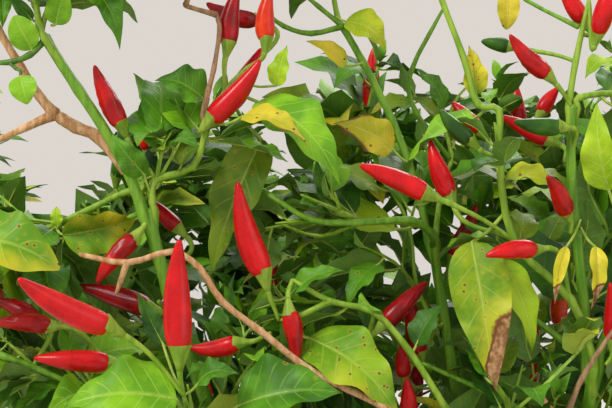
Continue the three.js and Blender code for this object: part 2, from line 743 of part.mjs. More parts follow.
const finish = (name, color, roughness) =>
  new THREE.MeshStandardMaterial({ name, color, roughness, metalness: 0 });
const bark = finish("bark", 0x8a7350, 0.85);
const greenStem = finish("green-stem", 0x5c8a2c, 0.5);
const dryTwig = finish("dry-twig", 0xa98d64, 0.8);
const foliage = finish("foliage", 0x4f8a22, 0.5);

// Fills the space of a mass: dresses its stem past its bare foot, then grows on from the stem's end
function fill(name) {
  const mass = masses[name];
  const stem = mass.axes[0].points;
  const dressed = 4; // nodes at the end of an even stem that bear leaves
  const firstNode = mass.way ? 2 : Math.max(2, stem.length - dressed);
  for (let i = firstNode; i < stem.length; i += 1) {
    const way = along(stem[i - 1], stem[i]);
    const side = squareTo(way).applyAxisAngle(way, i * rule.turn);
    dressNode(name, { point: stem[i], way, side, seed: mass.seed * seedStep.mass + i, order: 0 });
  }
  grow(name, stem[stem.length - 1], along(stem[stem.length - 2], stem[stem.length - 1]), 0, mass.seed);
}

function build() {
  layOut();
  const group = new THREE.Group();
  const add = (name, geometry, material) => {
    const mesh = new THREE.Mesh(geometry, material);
    mesh.name = name;
    group.add(mesh);
  };
  for (const [name, limb] of Object.entries(limbs)) {
    const points = limb.curve.getPoints(limbRings);
    addRods(points, taper(points.length, limb.radii[0] * tipSwell, limb.radii[0]), name);
    add(name, limbGeometry(name, limb), name === "trunk" ? bark : greenStem);
  }
  Object.keys(masses).forEach(placeByHand);
  for (const [name, mass] of Object.entries(masses)) {
    if (!mass.bare) {
      fill(name);
    }
    add(name, geometryOf(massSolid(mass)), mass.bare ? dryTwig : foliage);
  }
  return group;
}

const group = build();
export default group;
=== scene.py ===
import json
import math
import random

import bpy
import numpy as np
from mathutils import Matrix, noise

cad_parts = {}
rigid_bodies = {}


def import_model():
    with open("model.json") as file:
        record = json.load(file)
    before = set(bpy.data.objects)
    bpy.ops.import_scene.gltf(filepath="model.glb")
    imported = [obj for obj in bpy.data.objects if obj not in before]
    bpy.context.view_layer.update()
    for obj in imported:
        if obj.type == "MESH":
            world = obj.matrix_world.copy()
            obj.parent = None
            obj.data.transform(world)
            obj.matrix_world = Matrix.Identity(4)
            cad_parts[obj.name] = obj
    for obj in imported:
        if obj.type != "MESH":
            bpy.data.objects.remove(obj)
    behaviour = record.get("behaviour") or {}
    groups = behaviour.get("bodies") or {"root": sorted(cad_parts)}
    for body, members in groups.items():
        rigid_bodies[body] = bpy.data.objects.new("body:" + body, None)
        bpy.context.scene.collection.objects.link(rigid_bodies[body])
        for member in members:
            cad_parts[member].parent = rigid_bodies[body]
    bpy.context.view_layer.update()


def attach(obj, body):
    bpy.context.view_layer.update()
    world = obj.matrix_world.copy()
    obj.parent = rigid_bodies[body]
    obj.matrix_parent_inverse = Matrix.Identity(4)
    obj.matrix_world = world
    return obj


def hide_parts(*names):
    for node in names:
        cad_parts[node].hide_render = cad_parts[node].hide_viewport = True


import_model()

# A chilli pepper plant. Sizes here are millimetres in the frame of the solids, and meshes are made in metres.
mm = 0.001

# Camera: a level look into the crown, as in the photo. It takes in seenWidth at focusDepth.
shot = dict(eye=(-20, -670, 380), focusDepth=560, seenWidth=226.7, sensor=36, clip=(0.02, 100))


def makeCamera():
    data = bpy.data.cameras.new("view")
    data.sensor_width = shot["sensor"]
    data.lens = shot["sensor"] * shot["focusDepth"] / shot["seenWidth"]
    data.clip_start, data.clip_end = shot["clip"]
    camera = bpy.data.objects.new("view", data)
    camera.location = [value * mm for value in shot["eye"]]
    camera.rotation_euler = (math.pi / 2, 0, 0)
    bpy.context.scene.collection.objects.link(camera)
    bpy.context.scene.camera = camera


makeCamera()
bpy.context.scene.view_settings.view_transform = "Standard"


# Shader maths: an expression on wires adds its Math nodes
class Wire:
    def __init__(self, finish, socket):
        self.finish, self.socket = finish, socket

    def other(self, name):
        # another output of the same node
        return Wire(self.finish, self.socket.node.outputs[name])

    def maths(self, operation, *values):
        return self.finish.node("ShaderNodeMath", {"operation": operation}, dict(enumerate(values)))

    def __add__(self, other):
        return self.maths("ADD", self, other)

    def __sub__(self, other):
        return self.maths("SUBTRACT", self, other)

    def __rsub__(self, other):
        return self.maths("SUBTRACT", other, self)

    def __mul__(self, other):
        return self.maths("MULTIPLY", self, other)

    __radd__ = __add__
    __rmul__ = __mul__

    def size(self):
        return self.maths("ABSOLUTE", self)

    def fraction(self):
        return self.maths("FRACT", self)

    def orMore(self, other):
        return self.maths("MAXIMUM", self, other)

    def rise(self, low, high):
        # 0 below low, 1 above high, smooth between them
        inputs = {"Value": self, "From Min": low, "From Max": high}
        return self.finish.node("ShaderNodeMapRange", {"interpolation_type": "SMOOTHSTEP"}, inputs)


class Finish:
    def __init__(self, name, **fixed):
        self.material = bpy.data.materials.new(name)
        self.material.use_nodes = True
        self.tree = self.material.node_tree
        self.shader = self.tree.nodes["Principled BSDF"]
        for socket, value in fixed.items():
            self.shader.inputs[socket.replace("_", " ")].default_value = value

    def node(self, kind, settings=None, inputs=None, out=0):
        made = self.tree.nodes.new(kind)
        for key, value in (settings or {}).items():
            setattr(made, key, value)
        for key, value in (inputs or {}).items():
            self.feed(made.inputs[key], value)
        return Wire(self, made.outputs[out])

    def feed(self, socket, value):
        if isinstance(value, Wire):
            self.tree.links.new(value.socket, socket)
        else:
            socket.default_value = value

    def give(self, socket, value):
        self.feed(self.shader.inputs[socket], value)

    def mix(self, share, first, second):
        # colours: first where share is 0, second where it is 1
        inputs = {0: share, 6: first, 7: second}
        return self.node("ShaderNodeMix", {"data_type": "RGBA"}, inputs, out=2)

    def place(self):
        return self.node("ShaderNodeTexCoord", out="Object")

    def noise(self, scale, detail, stretch=None):
        vector = self.place()
        if stretch:
            inputs = {0: vector, 1: stretch}
            vector = self.node("ShaderNodeVectorMath", {"operation": "MULTIPLY"}, inputs)
        inputs = {"Vector": vector, "Scale": scale, "Detail": detail}
        return self.node("ShaderNodeTexNoise", None, inputs)

    def cells(self, scale):
        # distance from the middle of scattered cells, with a chance number for each cell
        inputs = {"Vector": self.place(), "Scale": scale}
        distance = self.node("ShaderNodeTexVoronoi", None, inputs)
        chance = self.node("ShaderNodeSeparateColor", None, {0: distance.other("Color")})
        return distance, chance

    def bump(self, height, distance, strength):
        inputs = {"Height": height, "Distance": distance, "Strength": strength}
        self.give("Normal", self.node("ShaderNodeBump", None, inputs))


def paint(red, green, blue):
    # a colour as it is seen, 0 to 255, for the shader's sockets
    def linear(value):
        value /= 255
        return value / 12.92 if value <= 0.04045 else ((value + 0.055) / 1.055) ** 2.4

    return (linear(red), linear(green), linear(blue), 1)


def shade(colour, share):
    return tuple(value * share for value in colour[:3]) + (1,)


# Limbs: each leaves the tip of another and runs to a point, where it heads the given way
limbs = {
    "trunk": dict(to=(4, -4, 128), heading=(0.1, -0.08, 1), radii=(7.4, 6.8)),
    "bough-left-low": dict(parent="trunk", to=(-38, -52, 230), heading=(-0.3, -0.4, 1), radii=(3.9, 3.3)),
    "bough-left-mid": dict(
        parent="bough-left-low", to=(-79, -106, 376), heading=(-0.24, 0, 1), radii=(2.8, 2.4),
    ),
    "bough-left-leader": dict(
        parent="bough-left-mid", to=(-116, -112, 441), heading=(-0.5, 0, 0.87), radii=(2.1, 1.8),
    ),
    "bough-left-side": dict(
        parent="bough-left-low", to=(-120, -26, 308), heading=(-0.8, 0.1, 0.8), radii=(2.3, 1.9),
    ),
    "bough-front": dict(
        parent="bough-left-low", to=(-52, -128, 280), heading=(-0.1, -0.5, 0.85), radii=(2.4, 2),
    ),
    "bough-right-low": dict(parent="trunk", to=(40, -36, 212), heading=(0.35, -0.3, 1), radii=(3.9, 3.4)),
    "bough-front-right": dict(
        parent="bough-right-low", to=(46, -94, 278), heading=(0, -0.4, 0.9), radii=(2.4, 2),
    ),
    "bough-middle": dict(
        parent="bough-right-low", to=(31, -64, 364), heading=(-0.12, 0.05, 1), radii=(2.3, 1.9),
    ),
    "bough-middle-leader": dict(
        parent="bough-middle", to=(-5, -56, 452), heading=(-0.5, 0, 0.85), radii=(1.6, 1.4),
    ),
    "bough-right-mid": dict(
        parent="bough-right-low", to=(90, -90, 316), heading=(0, -0.1, 1), radii=(2.8, 2.4),
    ),
    "bough-right-leader": dict(
        parent="bough-right-mid", to=(81, -98, 416), heading=(0.1, 0, 1), radii=(2, 1.7),
    ),
    "bough-right-side": dict(
        parent="bough-right-mid", to=(136, -26, 352), heading=(0.5, 0.4, 0.9), radii=(2, 1.7),
    ),
    "bough-back-low": dict(parent="trunk", to=(-14, 46, 208), heading=(-0.15, 0.4, 1), radii=(3.9, 3.4)),
    "bough-back-left": dict(
        parent="bough-back-low", to=(-86, 64, 292), heading=(-0.5, 0.2, 0.9), radii=(2.5, 2.1),
    ),
    "bough-back-right": dict(
        parent="bough-back-low", to=(64, 88, 300), heading=(0.4, 0.2, 0.9), radii=(2.5, 2.1),
    ),
    "bough-back": dict(parent="bough-back-low", to=(-16, 84, 322), heading=(0, 0.1, 1), radii=(2.3, 1.9)),
}

# Foliage masses: each fills a ball round its heart, cut back where it meets the next ball.
# way: the points of a stem past its foot, and height: how far up the trunk the foot stands.
# twigs: more axes, each from a node of the stem. Nodes count from the foot, a twig's from the stem.
masses = {
    "foliage-left-leader": dict(
        parent="bough-left-leader", heart=(-138, -104, 480), reach=52, seed=11, radius=1.5,
        way=[(-120, -112, 455), (-127, -108, 476)],
        twigs=[dict(node=1, look="deep", way=[(-127, -110, 438), (-138, -106, 434)])],
    ),
    "foliage-left-tip": dict(
        parent="bough-left-leader", heart=(-92, -104, 482), reach=50, seed=12, radius=1.4,
        way=[(-114, -112, 456), (-110, -110, 478)],
    ),
    "foliage-centre-top": dict(
        parent="bough-left-mid", heart=(-44, -106, 426), reach=52, seed=13, radius=1.5,
        way=[(-76, -105, 389), (-62, -106, 394), (-57, -106, 408), (-50, -106, 422), (-43, -105, 430)],
        fruits=[
            dict(node=2, neck=(-89, -108, 410), tip=(-98, -112, 431)),
            dict(node=4, neck=(-55, -110, 412), tip=(-37, -113, 433)),
            dict(node=4, neck=(-49, -98, 417), tip=(-37, -96, 439)),
            dict(node=5, neck=(-49, -107, 440), tip=(-45, -107, 461)),
            dict(node=6, neck=(-35, -104, 442), tip=(-33, -104, 461)),
        ],
        leaves=[
            dict(node=6, tip=(-27, -110, 439), wide=9, face=(-0.4, -1, 0.1)),
            dict(node=5, tip=(-8, -111, 389), wide=23, face=(0.2, -0.8, 0.7)),
            dict(node=4, tip=(-55, -100, 352), wide=20, face=(-0.2, -1, 0.3)),
            dict(node=4, tip=(-75, -108, 428), wide=13, face=(0.1, -0.7, 0.8)),
        ],
    ),
    "foliage-left-mid": dict(
        parent="bough-left-mid", heart=(-120, -92, 354), reach=44, seed=14, radius=1.4,
        way=[(-86, -101, 385), (-102, -97, 378), (-116, -94, 372)],
        twigs=[dict(node=2, look="dry", way=[(-98, -98, 405), (-115, -98, 414), (-137, -98, 447)])],
        fruits=[dict(node=2, neck=(-84, -110, 367), tip=(-97, -113, 351))],
        leaves=[
            dict(node=3, tip=(-80, -92, 378), wide=11, face=(0, -0.5, 0.9)),
            dict(node=4, tip=(-122, -102, 346), wide=20, face=(0, -0.9, 0.4)),
        ],
    ),
    "foliage-front": dict(
        parent="bough-front", heart=(-68, -160, 336), reach=42, seed=15, radius=1.6,
        way=[(-58, -150, 301), (-61, -164, 316)],
        fruits=[
            dict(node=3, neck=(-62, -168, 332), tip=(-62, -169, 368)),
            dict(node=3, neck=(-86, -172, 340), tip=(-112, -186, 356)),
        ],
    ),
    "foliage-low-left": dict(
        parent="bough-front", heart=(-112, -116, 312), reach=46, seed=16, radius=1.6,
        way=[(-78, -122, 302), (-97, -119, 311), (-120, -116, 320)],
        fruits=[
            dict(node=2, neck=(-92, -126, 323), tip=(-117, -130, 325)),
            dict(node=4, neck=(-120, -112, 337), tip=(-136, -106, 344)),
        ],
    ),
    "foliage-centre-low": dict(
        parent="bough-front-right", heart=(-8, -114, 340), reach=44, seed=17, radius=1.5,
        way=[(32, -108, 304), (18, -110, 326), (5, -110, 340), (-11, -110, 344), (-25, -111, 352)],
        twigs=[dict(node=5, way=[(-24, -111, 338), (-30, -111, 337)])],
        fruits=[
            dict(node=6, neck=(-26, -115, 340), tip=(-24, -117, 321)),
            dict(twig=0, node=2, neck=(-36, -113, 355), tip=(-45, -114, 388)),
            dict(node=4, neck=(10, -98, 335), tip=(26, -92, 350)),
        ],
    ),
    "dry-twig-front": dict(
        parent="bough-front-right", heart=(-60, -132, 352), reach=40, seed=18, radius=1.4, bare=True,
        way=[(12, -119, 304), (-5, -122, 313), (-20, -124, 321), (-36, -126, 334), (-50, -128, 345),
            (-58, -129, 357), (-68, -130, 363), (-84, -130, 359), (-101, -129, 362)],
        twigs=[dict(node=9, way=[(-88, -128, 348)])],
    ),
    "foliage-right-low": dict(
        parent="bough-front-right", heart=(60, -116, 306), reach=50, seed=19, radius=1.5,
        way=[(56, -106, 302), (48, -112, 316)],
    ),
    "foliage-right-mid": dict(
        parent="bough-right-mid", heart=(44, -106, 402), reach=50, seed=20, radius=1.7,
        way=[(80, -99, 344), (58, -103, 366), (52, -106, 397), (52, -106, 415), (44, -106, 417),
            (39, -106, 434), (30, -106, 458), (25, -106, 476)],
        fruits=[
            dict(node=3, neck=(24, -113, 384), tip=(0, -117, 394)),
            dict(node=3, neck=(34, -100, 384), tip=(27, -99, 404)),
            dict(node=4, neck=(41, -107, 404), tip=(30, -108, 415)),
            dict(node=2, neck=(64, -110, 363), tip=(46, -116, 361)),
        ],
        leaves=[
            dict(node=3, tip=(50, -114, 312), wide=25, face=(-0.1, -1, 0.1)),
            dict(node=4, tip=(72, -112, 385), wide=12, face=(0, -0.6, 0.8)),
        ],
    ),
    "foliage-right-top": dict(
        parent="bough-right-leader", heart=(90, -98, 472), reach=50, seed=21, radius=1.4,
        way=[(82, -98, 434), (87, -98, 457)],
        fruits=[
            dict(node=2, neck=(70, -103, 429), tip=(56, -107, 443)),
            dict(node=3, neck=(90, -102, 445), tip=(95, -106, 465)),
        ],
    ),
    "foliage-right-outer": dict(
        parent="bough-right-leader", heart=(122, -92, 416), reach=46, seed=22, radius=1.4,
    ),
    "foliage-middle": dict(
        parent="bough-middle", heart=(-22, -84, 380), reach=38, seed=23, radius=1.4,
        way=[(19, -82, 373), (0, -92, 373), (-18, -96, 374), (-31, -92, 382)],
    ),
}
# Masses with nothing listed: parent, heart, reach, seed, radius and, for those on the trunk, height
plainMasses = {
    "foliage-middle-back": ("bough-middle", (42, -34, 400), 46, 24, 1.3),
    "foliage-middle-top": ("bough-middle-leader", (-8, -54, 486), 46, 25, 1.2),
    "foliage-left-side": ("bough-left-side", (-168, -46, 312), 62, 276, 1.6),
    "foliage-left-back": ("bough-left-side", (-176, 20, 378), 64, 27, 1.6),
    "foliage-right-side": ("bough-right-side", (172, -46, 342), 62, 228, 1.5),
    "foliage-right-back": ("bough-right-side", (166, 26, 416), 64, 279, 1.5),
    "foliage-back-left-low": ("bough-back-left", (-138, 92, 296), 64, 180, 1.6),
    "foliage-back-left": ("bough-back-left", (-88, 92, 376), 62, 31, 1.6),
    "foliage-back-right-low": ("bough-back-right", (124, 92, 300), 62, 332, 1.6),
    "foliage-back-right": ("bough-back-right", (84, 84, 384), 66, 633, 1.6),
    "foliage-back": ("bough-back", (-24, 150, 332), 66, 34, 1.5),
    "foliage-crown": ("bough-back", (2, 42, 396), 62, 235, 1.5),
    "foliage-inner": ("bough-back", (-22, -6, 316), 44, 40, 1.4),
    "foliage-skirt-front": ("trunk", (4, -106, 214), 60, 36, 1.7, 96),
    "foliage-skirt-right": ("trunk", (110, 4, 214), 64, 37, 1.8, 84),
    "foliage-skirt-back": ("trunk", (10, 114, 212), 60, 38, 1.7, 100),
    "foliage-skirt-left": ("trunk", (-110, 10, 212), 56, 739, 1.8, 76),
    "foliage-skirt-front-left": ("trunk", (-84, -86, 210), 57, 41, 1.6, 82),
    "foliage-skirt-front-right": ("trunk", (86, -86, 210), 57, 192, 1.6, 72),
    "foliage-skirt-back-left": ("trunk", (-80, 92, 214), 57, 193, 1.6, 90),
    "foliage-skirt-back-right": ("trunk", (88, 92, 212), 57, 44, 1.6, 80),
}
for name, row in plainMasses.items():
    masses[name] = dict(zip(("parent", "heart", "reach", "seed", "radius", "height"), row))

# Finishes of the fruits that the masses list, in their order
handFruitLooks = {
    "foliage-centre-top": ("wrinkled", "red", "red", "dark", "orange"),
    "foliage-left-mid": ("wrinkled",),
    "foliage-front": ("red", "red"),
    "foliage-low-left": ("red", "dark"),
    "foliage-centre-low": ("wrinkled", "red", "dark"),
    "foliage-right-mid": ("red", "red", "green", "red"),
    "foliage-right-top": ("wrinkled", "red"),
}
# Fruits whose pedicel stands further down than the solids have it, by their number in the mass
handFruitFeet = {"foliage-right-top": {0: (80, -99, 417)}}
# Fruits of the near side beyond those of the solids: foot on the twig, neck and tip of the body
moreFruits = [
    dict(foot=(-50, -104, 422), neck=(-40, -86, 451), tip=(-58, -90, 457), look="dark"),
    dict(foot=(81, -98, 400), neck=(75, -103, 409), tip=(58, -105, 411), look="green"),
    dict(foot=(79, -92, 396), neck=(74, -84, 405), tip=(56, -83, 414), look="red"),
    dict(foot=(80, -99, 369), neck=(77, -105, 377), tip=(68, -119, 390), look="wrinkled"),
    dict(foot=(-76, -96, 343), neck=(-81, -88, 340), tip=(-109, -82, 348), look="dark"),
    dict(foot=(-95, -118, 325), neck=(-113, -124, 336), tip=(-133, -124, 336.5), look="wrinkled"),
    dict(foot=(85, -97, 444), neck=(86, -90, 450.5), tip=(77, -90, 464), look="red"),
    dict(foot=(82, -97, 434), neck=(58.5, -85, 441), tip=(48, -85, 443), look="green"),
    dict(foot=(-73, -97, 352), neck=(-70, -80, 370.6), tip=(-80.9, -80, 381.6), look="dark"),
    dict(foot=(-33, -108, 332), neck=(-46, -104, 328), tip=(-64, -100, 326), look="red"),
    dict(foot=(17, -72, 304), neck=(19, -70, 312), tip=(18, -70, 324), look="red"),
    dict(foot=(21, -96, 288), neck=(19, -97, 296), tip=(18, -98, 314), look="red"),
    dict(foot=(94, -96, 319), neck=(96, -97, 329), tip=(95, -98, 350), look="red"),
    dict(foot=(57, -42, 402), neck=(53, -32, 411), tip=(42, -30, 423), look="red"),
    dict(foot=(70, -60, 410), neck=(75, -60, 417), tip=(82, -60, 427), look="red"),
]
# Twigs of the near side: the radius runs evenly through radii, and a shown one has open air before it
moreTwigs = [
    dict(look="green", radii=(1.5, 1.1), way=[(91, -84, 320), (78, -90, 328), (66, -94, 337)]),
    dict(look="green", radii=(1.3, 0.9), way=[(66, -96, 300), (48, -98, 309), (24, -100, 320)]),
    dict(
        look="green", radii=(1.3, 1.3, 1.2, 1.1, 0.9), shown=True,
        way=[(31, -64, 363), (29, -80, 368), (20, -96, 374), (0, -99, 373), (-18, -101, 374), (-33, -99, 383),
            (-44, -88, 390)],
    ),
    dict(look="green", radii=(1.1, 0.8), way=[(80, -99, 380), (81, -98, 400), (75, -99, 412)]),
    dict(
        look="dryDark", radii=(1.2, 0.8), shown=True,
        way=[(79, -101, 303), (84, -104, 316), (96, -106, 335)],
    ),
    dict(look="green", radii=(0.9, 0.6), way=[(83, -98, 447), (66, -80, 459.6), (60, -62, 470)]),
    dict(
        look="green", radii=(1.1, 0.9),
        way=[(40, -36, 399), (26, -39, 418), (23.3, -40, 434), (37, -40, 461)],
    ),
    dict(
        look="dry", radii=(1.3, 1.1), shown=True,
        way=[(76, -98, 293), (72, -104, 302), (67.5, -105, 308.5)],
    ),
    dict(look="green", radii=(1.2, 0.9), way=[(-131, -120, 325), (-118, -119, 320), (-104, -119, 314)]),
    dict(look="green", radii=(1.1, 0.8), way=[(-79, -104, 376), (-83, -108, 376), (-86, -110, 375)]),
    dict(
        look="green", radii=(1.2, 0.8),
        way=[(-5, -57, 452), (-18, -58, 449), (-29, -58, 452), (-37, -60, 458)],
    ),
    dict(look="green", radii=(1.1, 0.7), way=[(-5, -57, 452), (-15, -58, 460), (-21, -58, 465)]),
    dict(
        look="deep", radii=(1.3, 0.9),
        way=[(-116, -112, 441), (-122, -112, 435), (-130, -110, 432.5), (-139, -106, 433)],
    ),
    dict(
        look="deep", radii=(0.8, 0.5),
        way=[(-130, -110, 432.5), (-127, -112, 430), (-125, -114, 429), (-125, -115, 427)],
    ),
    dict(
        look="dry", radii=(1.6, 2.3, 2.2, 2.6),
        way=[(-88, -101, 392), (-98, -99, 405), (-107, -98, 409), (-115, -98, 414)],
    ),
    dict(
        look="dry", radii=(2.4, 1.7, 1.6, 1.5, 1.4),
        way=[(-115, -98, 414), (-121, -98, 421), (-128, -98, 432), (-137, -98, 447), (-141, -98, 455)],
    ),
    dict(look="dry", radii=(2.2, 1.4, 1.3), way=[(-115, -98, 414), (-126, -98, 409), (-139, -98, 403)]),
    dict(
        look="dryDark", radii=(1.2, 1.05, 1, 0.9, 0.8, 1),
        way=[(-57, -106, 408), (-58, -111, 413), (-56, -112, 422), (-54, -112, 430), (-52, -111, 444),
            (-53, -110, 450)],
    ),
    dict(
        look="dryDark", radii=(1.1, 0.8, 1.2, 0.7),
        way=[(-53, -110, 450), (-63, -109, 453), (-64.5, -109, 454), (-63, -109, 458)],
    ),
]
# Leaves of the near side: root on the twig, base and tip of the blade, greatest width, and the way it faces.
# nearLeafForm is the form of one whose row gives no other.
nearLeafForm = dict(fold=0.3, arch=0.1, curl=0.1, twist=0.2)
nearLeaves = {
    # leaf-bright is lit from behind, and its bright finish partly paints the light shining through it.
    "leaf-bright": dict(
        root=(-47, -106, 424), base=(-38, -107, 418), tip=(-7, -119, 388), wide=23, face=(0.25, -0.8, 0.6),
        look="bright", fold=0.25, arch=0.14, twist=0.3,
    ),
    "leaf-upright": dict(
        root=(-45, -104, 426), base=(-31, -107, 424), tip=(-27, -108, 439), wide=9, face=(-0.5, -1, 0.1),
        look="lime", arch=0.06, curl=0.0,
    ),
    "leaf-yellow": dict(
        root=(-55, -106, 410), base=(-43, -118, 412), tip=(-19, -133, 402), wide=11, face=(0, -0.7, 0.7),
        look="yellowDry", fold=0.2, arch=0.12, curl=0.15, twist=-0.3,
    ),
    "leaf-olive": dict(
        root=(-50, -104, 422), base=(-37, -93, 405), tip=(-57, -93, 353), wide=21, face=(-0.3, -1, 0.2),
        look="olive", fold=0.4, arch=0.03, curl=0.08, twist=0.5,
    ),
    "leaf-curled": dict(
        root=(-57, -106, 408), base=(-58, -105, 419), tip=(-76, -107, 427), wide=18, face=(0.05, -0.8, 0.6),
        look="green", fold=0.45, curl=0.2, twist=-0.2,
    ),
    "leaf-stem-side": dict(
        root=(-78, -106, 384), base=(-80, -109, 391), tip=(-92, -113, 406), wide=11, face=(-0.3, -1, 0.3),
        look="green", fold=0.4, arch=0.12, twist=0.3,
    ),
    "leaf-top-hanging": dict(
        root=(-106, -112, 464), base=(-99, -114, 459), tip=(-87, -121, 437), wide=12, face=(0.4, -0.9, 0.3),
        look="green", fold=0.35, arch=0.16, curl=0.2, twist=0.3,
    ),
    "leaf-spotted": dict(
        root=(-115, -95, 371), base=(-111.5, -102, 368.5), tip=(-84, -98, 375.5), wide=21,
        face=(0, -1, -0.45), look="spottedYellow", fold=0.7, curl=0.05, twist=0.1, run=0.9,
    ),
    "leaf-lime-small": dict(
        root=(-115, -95, 370), base=(-113.8, -98, 371.5), tip=(-114.5, -98, 379), wide=5,
        face=(-0.2, -1, 0.1), look="lime", arch=0.06, run=0.8,
    ),
    "leaf-top-right": dict(
        root=(60, -62, 470), base=(61, -62, 466), tip=(60.5, -64, 450), wide=9.5, face=(0.1, -1, 0.1),
        look="yellowDry", arch=0.06, run=0.65, crinkle=0.6,
    ),
    "leaf-large-spotted": dict(
        root=(-158, -124, 362), base=(-150, -128, 363), tip=(-107, -142, 360), wide=29,
        face=(0.1, -0.75, 0.65), look="spotted", fold=0.18, arch=0.12, curl=0.2, twist=0.15, run=0.75,
    ),
    "leaf-brown-tip": dict(
        root=(54, -103, 376), base=(42, -105, 366), tip=(50, -115, 311), wide=23, face=(-0.05, -1, 0.1),
        look="papery", fold=0.2, arch=0.03, curl=0.06, twist=0.1,
    ),
    "leaf-behind-tip": dict(
        root=(52, -100, 368), base=(54, -98, 359), tip=(66, -103, 324), wide=13, face=(0.4, -1, 0.1),
        look="lime", fold=0.4, arch=0.06, curl=0.15,
    ),
    "leaf-narrow": dict(
        root=(84, -97, 374), base=(77, -106, 364), tip=(72, -110, 343), wide=6, face=(-0.3, -1, 0.2),
        look="yellowTip", fold=0.7, arch=0.05, twist=0.5,
    ),
    "leaf-narrow-right": dict(
        root=(84, -97, 371), base=(88, -106, 364), tip=(86, -110, 341), wide=8, face=(0.3, -1, 0.1),
        look="yellowTip", fold=0.6, arch=0.08, twist=-0.4,
    ),
    "leaf-folded": dict(
        root=(52, -104, 390), base=(54, -104, 389), tip=(75, -110, 384), wide=13, face=(0, -0.7, 0.8),
        look="yellowGreen", fold=0.75, arch=0.12, curl=0.2, twist=0.3,
    ),
    "leaf-right-edge": dict(
        root=(92, -128, 376), base=(88, -131, 385), tip=(82, -138, 416), wide=15, face=(-0.5, -1, 0.1),
        look="lime", fold=0.35, twist=0.3,
    ),
    "leaf-top-middle": dict(
        root=(-8, -58, 456), base=(-4, -58, 454), tip=(13, -58, 443), wide=17, face=(0.1, -0.8, 0.6),
        look="yellowGreen", arch=0.14, curl=0.2, crinkle=0.5,
    ),
    "leaf-top-yellow": dict(
        root=(3, -60, 437), base=(-4, -60, 436), tip=(-20, -62, 446), wide=9, face=(0, -0.8, 0.6),
        look="yellowDry", fold=0.35, crinkle=0.5,
    ),
    "leaf-middle-yellow": dict(
        root=(22, -64, 396), base=(15, -61, 402), tip=(-9, -60, 413), wide=17, face=(0, -0.9, 0.5),
        look="yellowDry", fold=0.25, arch=0.12,
    ),
    "leaf-low-broad": dict(
        root=(-26, -106, 334), base=(-19, -107, 330), tip=(15, -120, 303), wide=26, face=(0, -0.75, 0.7),
        look="spotted", fold=0.2, arch=0.12, curl=0.15, twist=0.1,
    ),
    "leaf-small-grey": dict(
        root=(-32, -108, 344), base=(-26, -107, 346), tip=(-5, -111, 356), wide=10, face=(0, -0.7, 0.8),
        look="green", fold=0.4, arch=0.12, twist=0.3,
    ),
    "leaf-front-left": dict(
        root=(-60, -160, 309), base=(-63, -167, 315), tip=(-100, -172, 314), wide=27, face=(0.1, -0.75, 0.65),
        look="bright", fold=0.25, twist=-0.2,
    ),
    "leaf-front-small": dict(
        root=(-61, -164, 316), base=(-56, -166, 320), tip=(-42, -170, 324), wide=11, face=(0, -0.7, 0.7),
        look="green", arch=0.25,
    ),
    "leaf-front-middle": dict(
        root=(-57, -152, 303), base=(-43, -162, 312), tip=(-8, -168, 318), wide=27, face=(0, -0.8, 0.6),
        look="green", roll=0.4,
    ),
    "leaf-round-left": dict(
        root=(-122, -112, 435), base=(-121, -113, 437), tip=(-127, -116, 449), wide=11, face=(-0.1, -1, 0.2),
        look="bright", fold=0.15, arch=0.06, twist=0.1, run=0.65, crinkle=0.4,
    ),
    "leaf-stem-right": dict(
        root=(-114, -112, 446), base=(-112, -114, 446), tip=(-108, -117, 461), wide=10, face=(0.2, -1, 0.1),
        look="bright", arch=0.08,
    ),
    "leaf-dark-curl": dict(
        root=(-119, -111, 447), base=(-121, -112, 448), tip=(-130, -116, 458), wide=6, face=(-0.3, -1, 0.3),
        look="dark", fold=0.6, arch=-0.12, curl=0.2, twist=0.3,
    ),
    "leaf-left-edge": dict(
        root=(-134, -106, 462), base=(-133, -108, 458), tip=(-132, -112, 445), wide=7, face=(0.3, -1, 0.1),
        look="green", fold=0.4, arch=0.08,
    ),
    "leaf-zigzag": dict(
        root=(45, -106, 418), base=(44, -101, 421), tip=(41.5, -100, 440), wide=10, face=(0.2, -1, 0.1),
        look="spottedYellow", fold=0.35, arch=0.06, curl=0.05,
    ),
    "leaf-front-dark": dict(
        root=(-61, -163, 316), base=(-69, -152, 332), tip=(-78, -151, 350), wide=8, face=(0.4, -1, 0.1),
        look="dark", fold=0.4, arch=-0.06, curl=0.05,
    ),
    "leaf-heart": dict(
        root=(-125, -115, 427), base=(-124.5, -115.5, 427), tip=(-122, -117, 416.5), wide=10.5,
        face=(0, -1, 0.2), look="bright", fold=0.2, arch=0.06, twist=0.1, run=0.8, crinkle=0.3,
    ),
}


# The growth rule, the same as in the source of the solids. Each order of shoots has its steps and radius.
rule = dict(
    internode=25, spread=0.4, shrink=0.84, fork=0.46, turn=2.2, rise=0.16,
    steps=(3, 3, 2), radius=(1.3, 1.0, 0.8), taper=0.3,
)
leafRule = dict(
    length=43, spread=0.35, wide=0.48, widest=0.46, rib=0.3, fold=0.22, arch=0.1, droop=0.35,
    atNode=2, atTip=3, follow=0.45, lift=0.25, wander=0.5, margin=0.6, petiole=0.12,
    turns=(0, 0.4, -0.4, 0.8, -0.8, 1.2, -1.2),
)
fruitRule = dict(
    chance=0.3, length=27, spread=0.4, radius=4.8, slim=2.2, swell=0.075, shoulder=0.24, calyx=2.4,
    foot=1, pedicel=17, apart=0.8, lean=0.7, upright=0.3, follow=0.35, room=dict(tip=1, neck=3, side=4),
    turns=(0, 1.3, -1.3),
)
keep = dict(
    joint=0.3, side=0.25, off=1.2, own=0.4, ownStart=0.35, cell=0.5, leafRod=1, handLeaf=0.13,
    fineOwn=0.1, fineOff=0.5, fineRod=0.3, sunk=10,
)
seedStep = dict(mass=977, order=31, node=7, leaf=5, bough=50, fruit=100)
rootStep = dict(shoot=1.6, leaf=3.4)  # how far below its node a shoot starts, and each leaf in turn
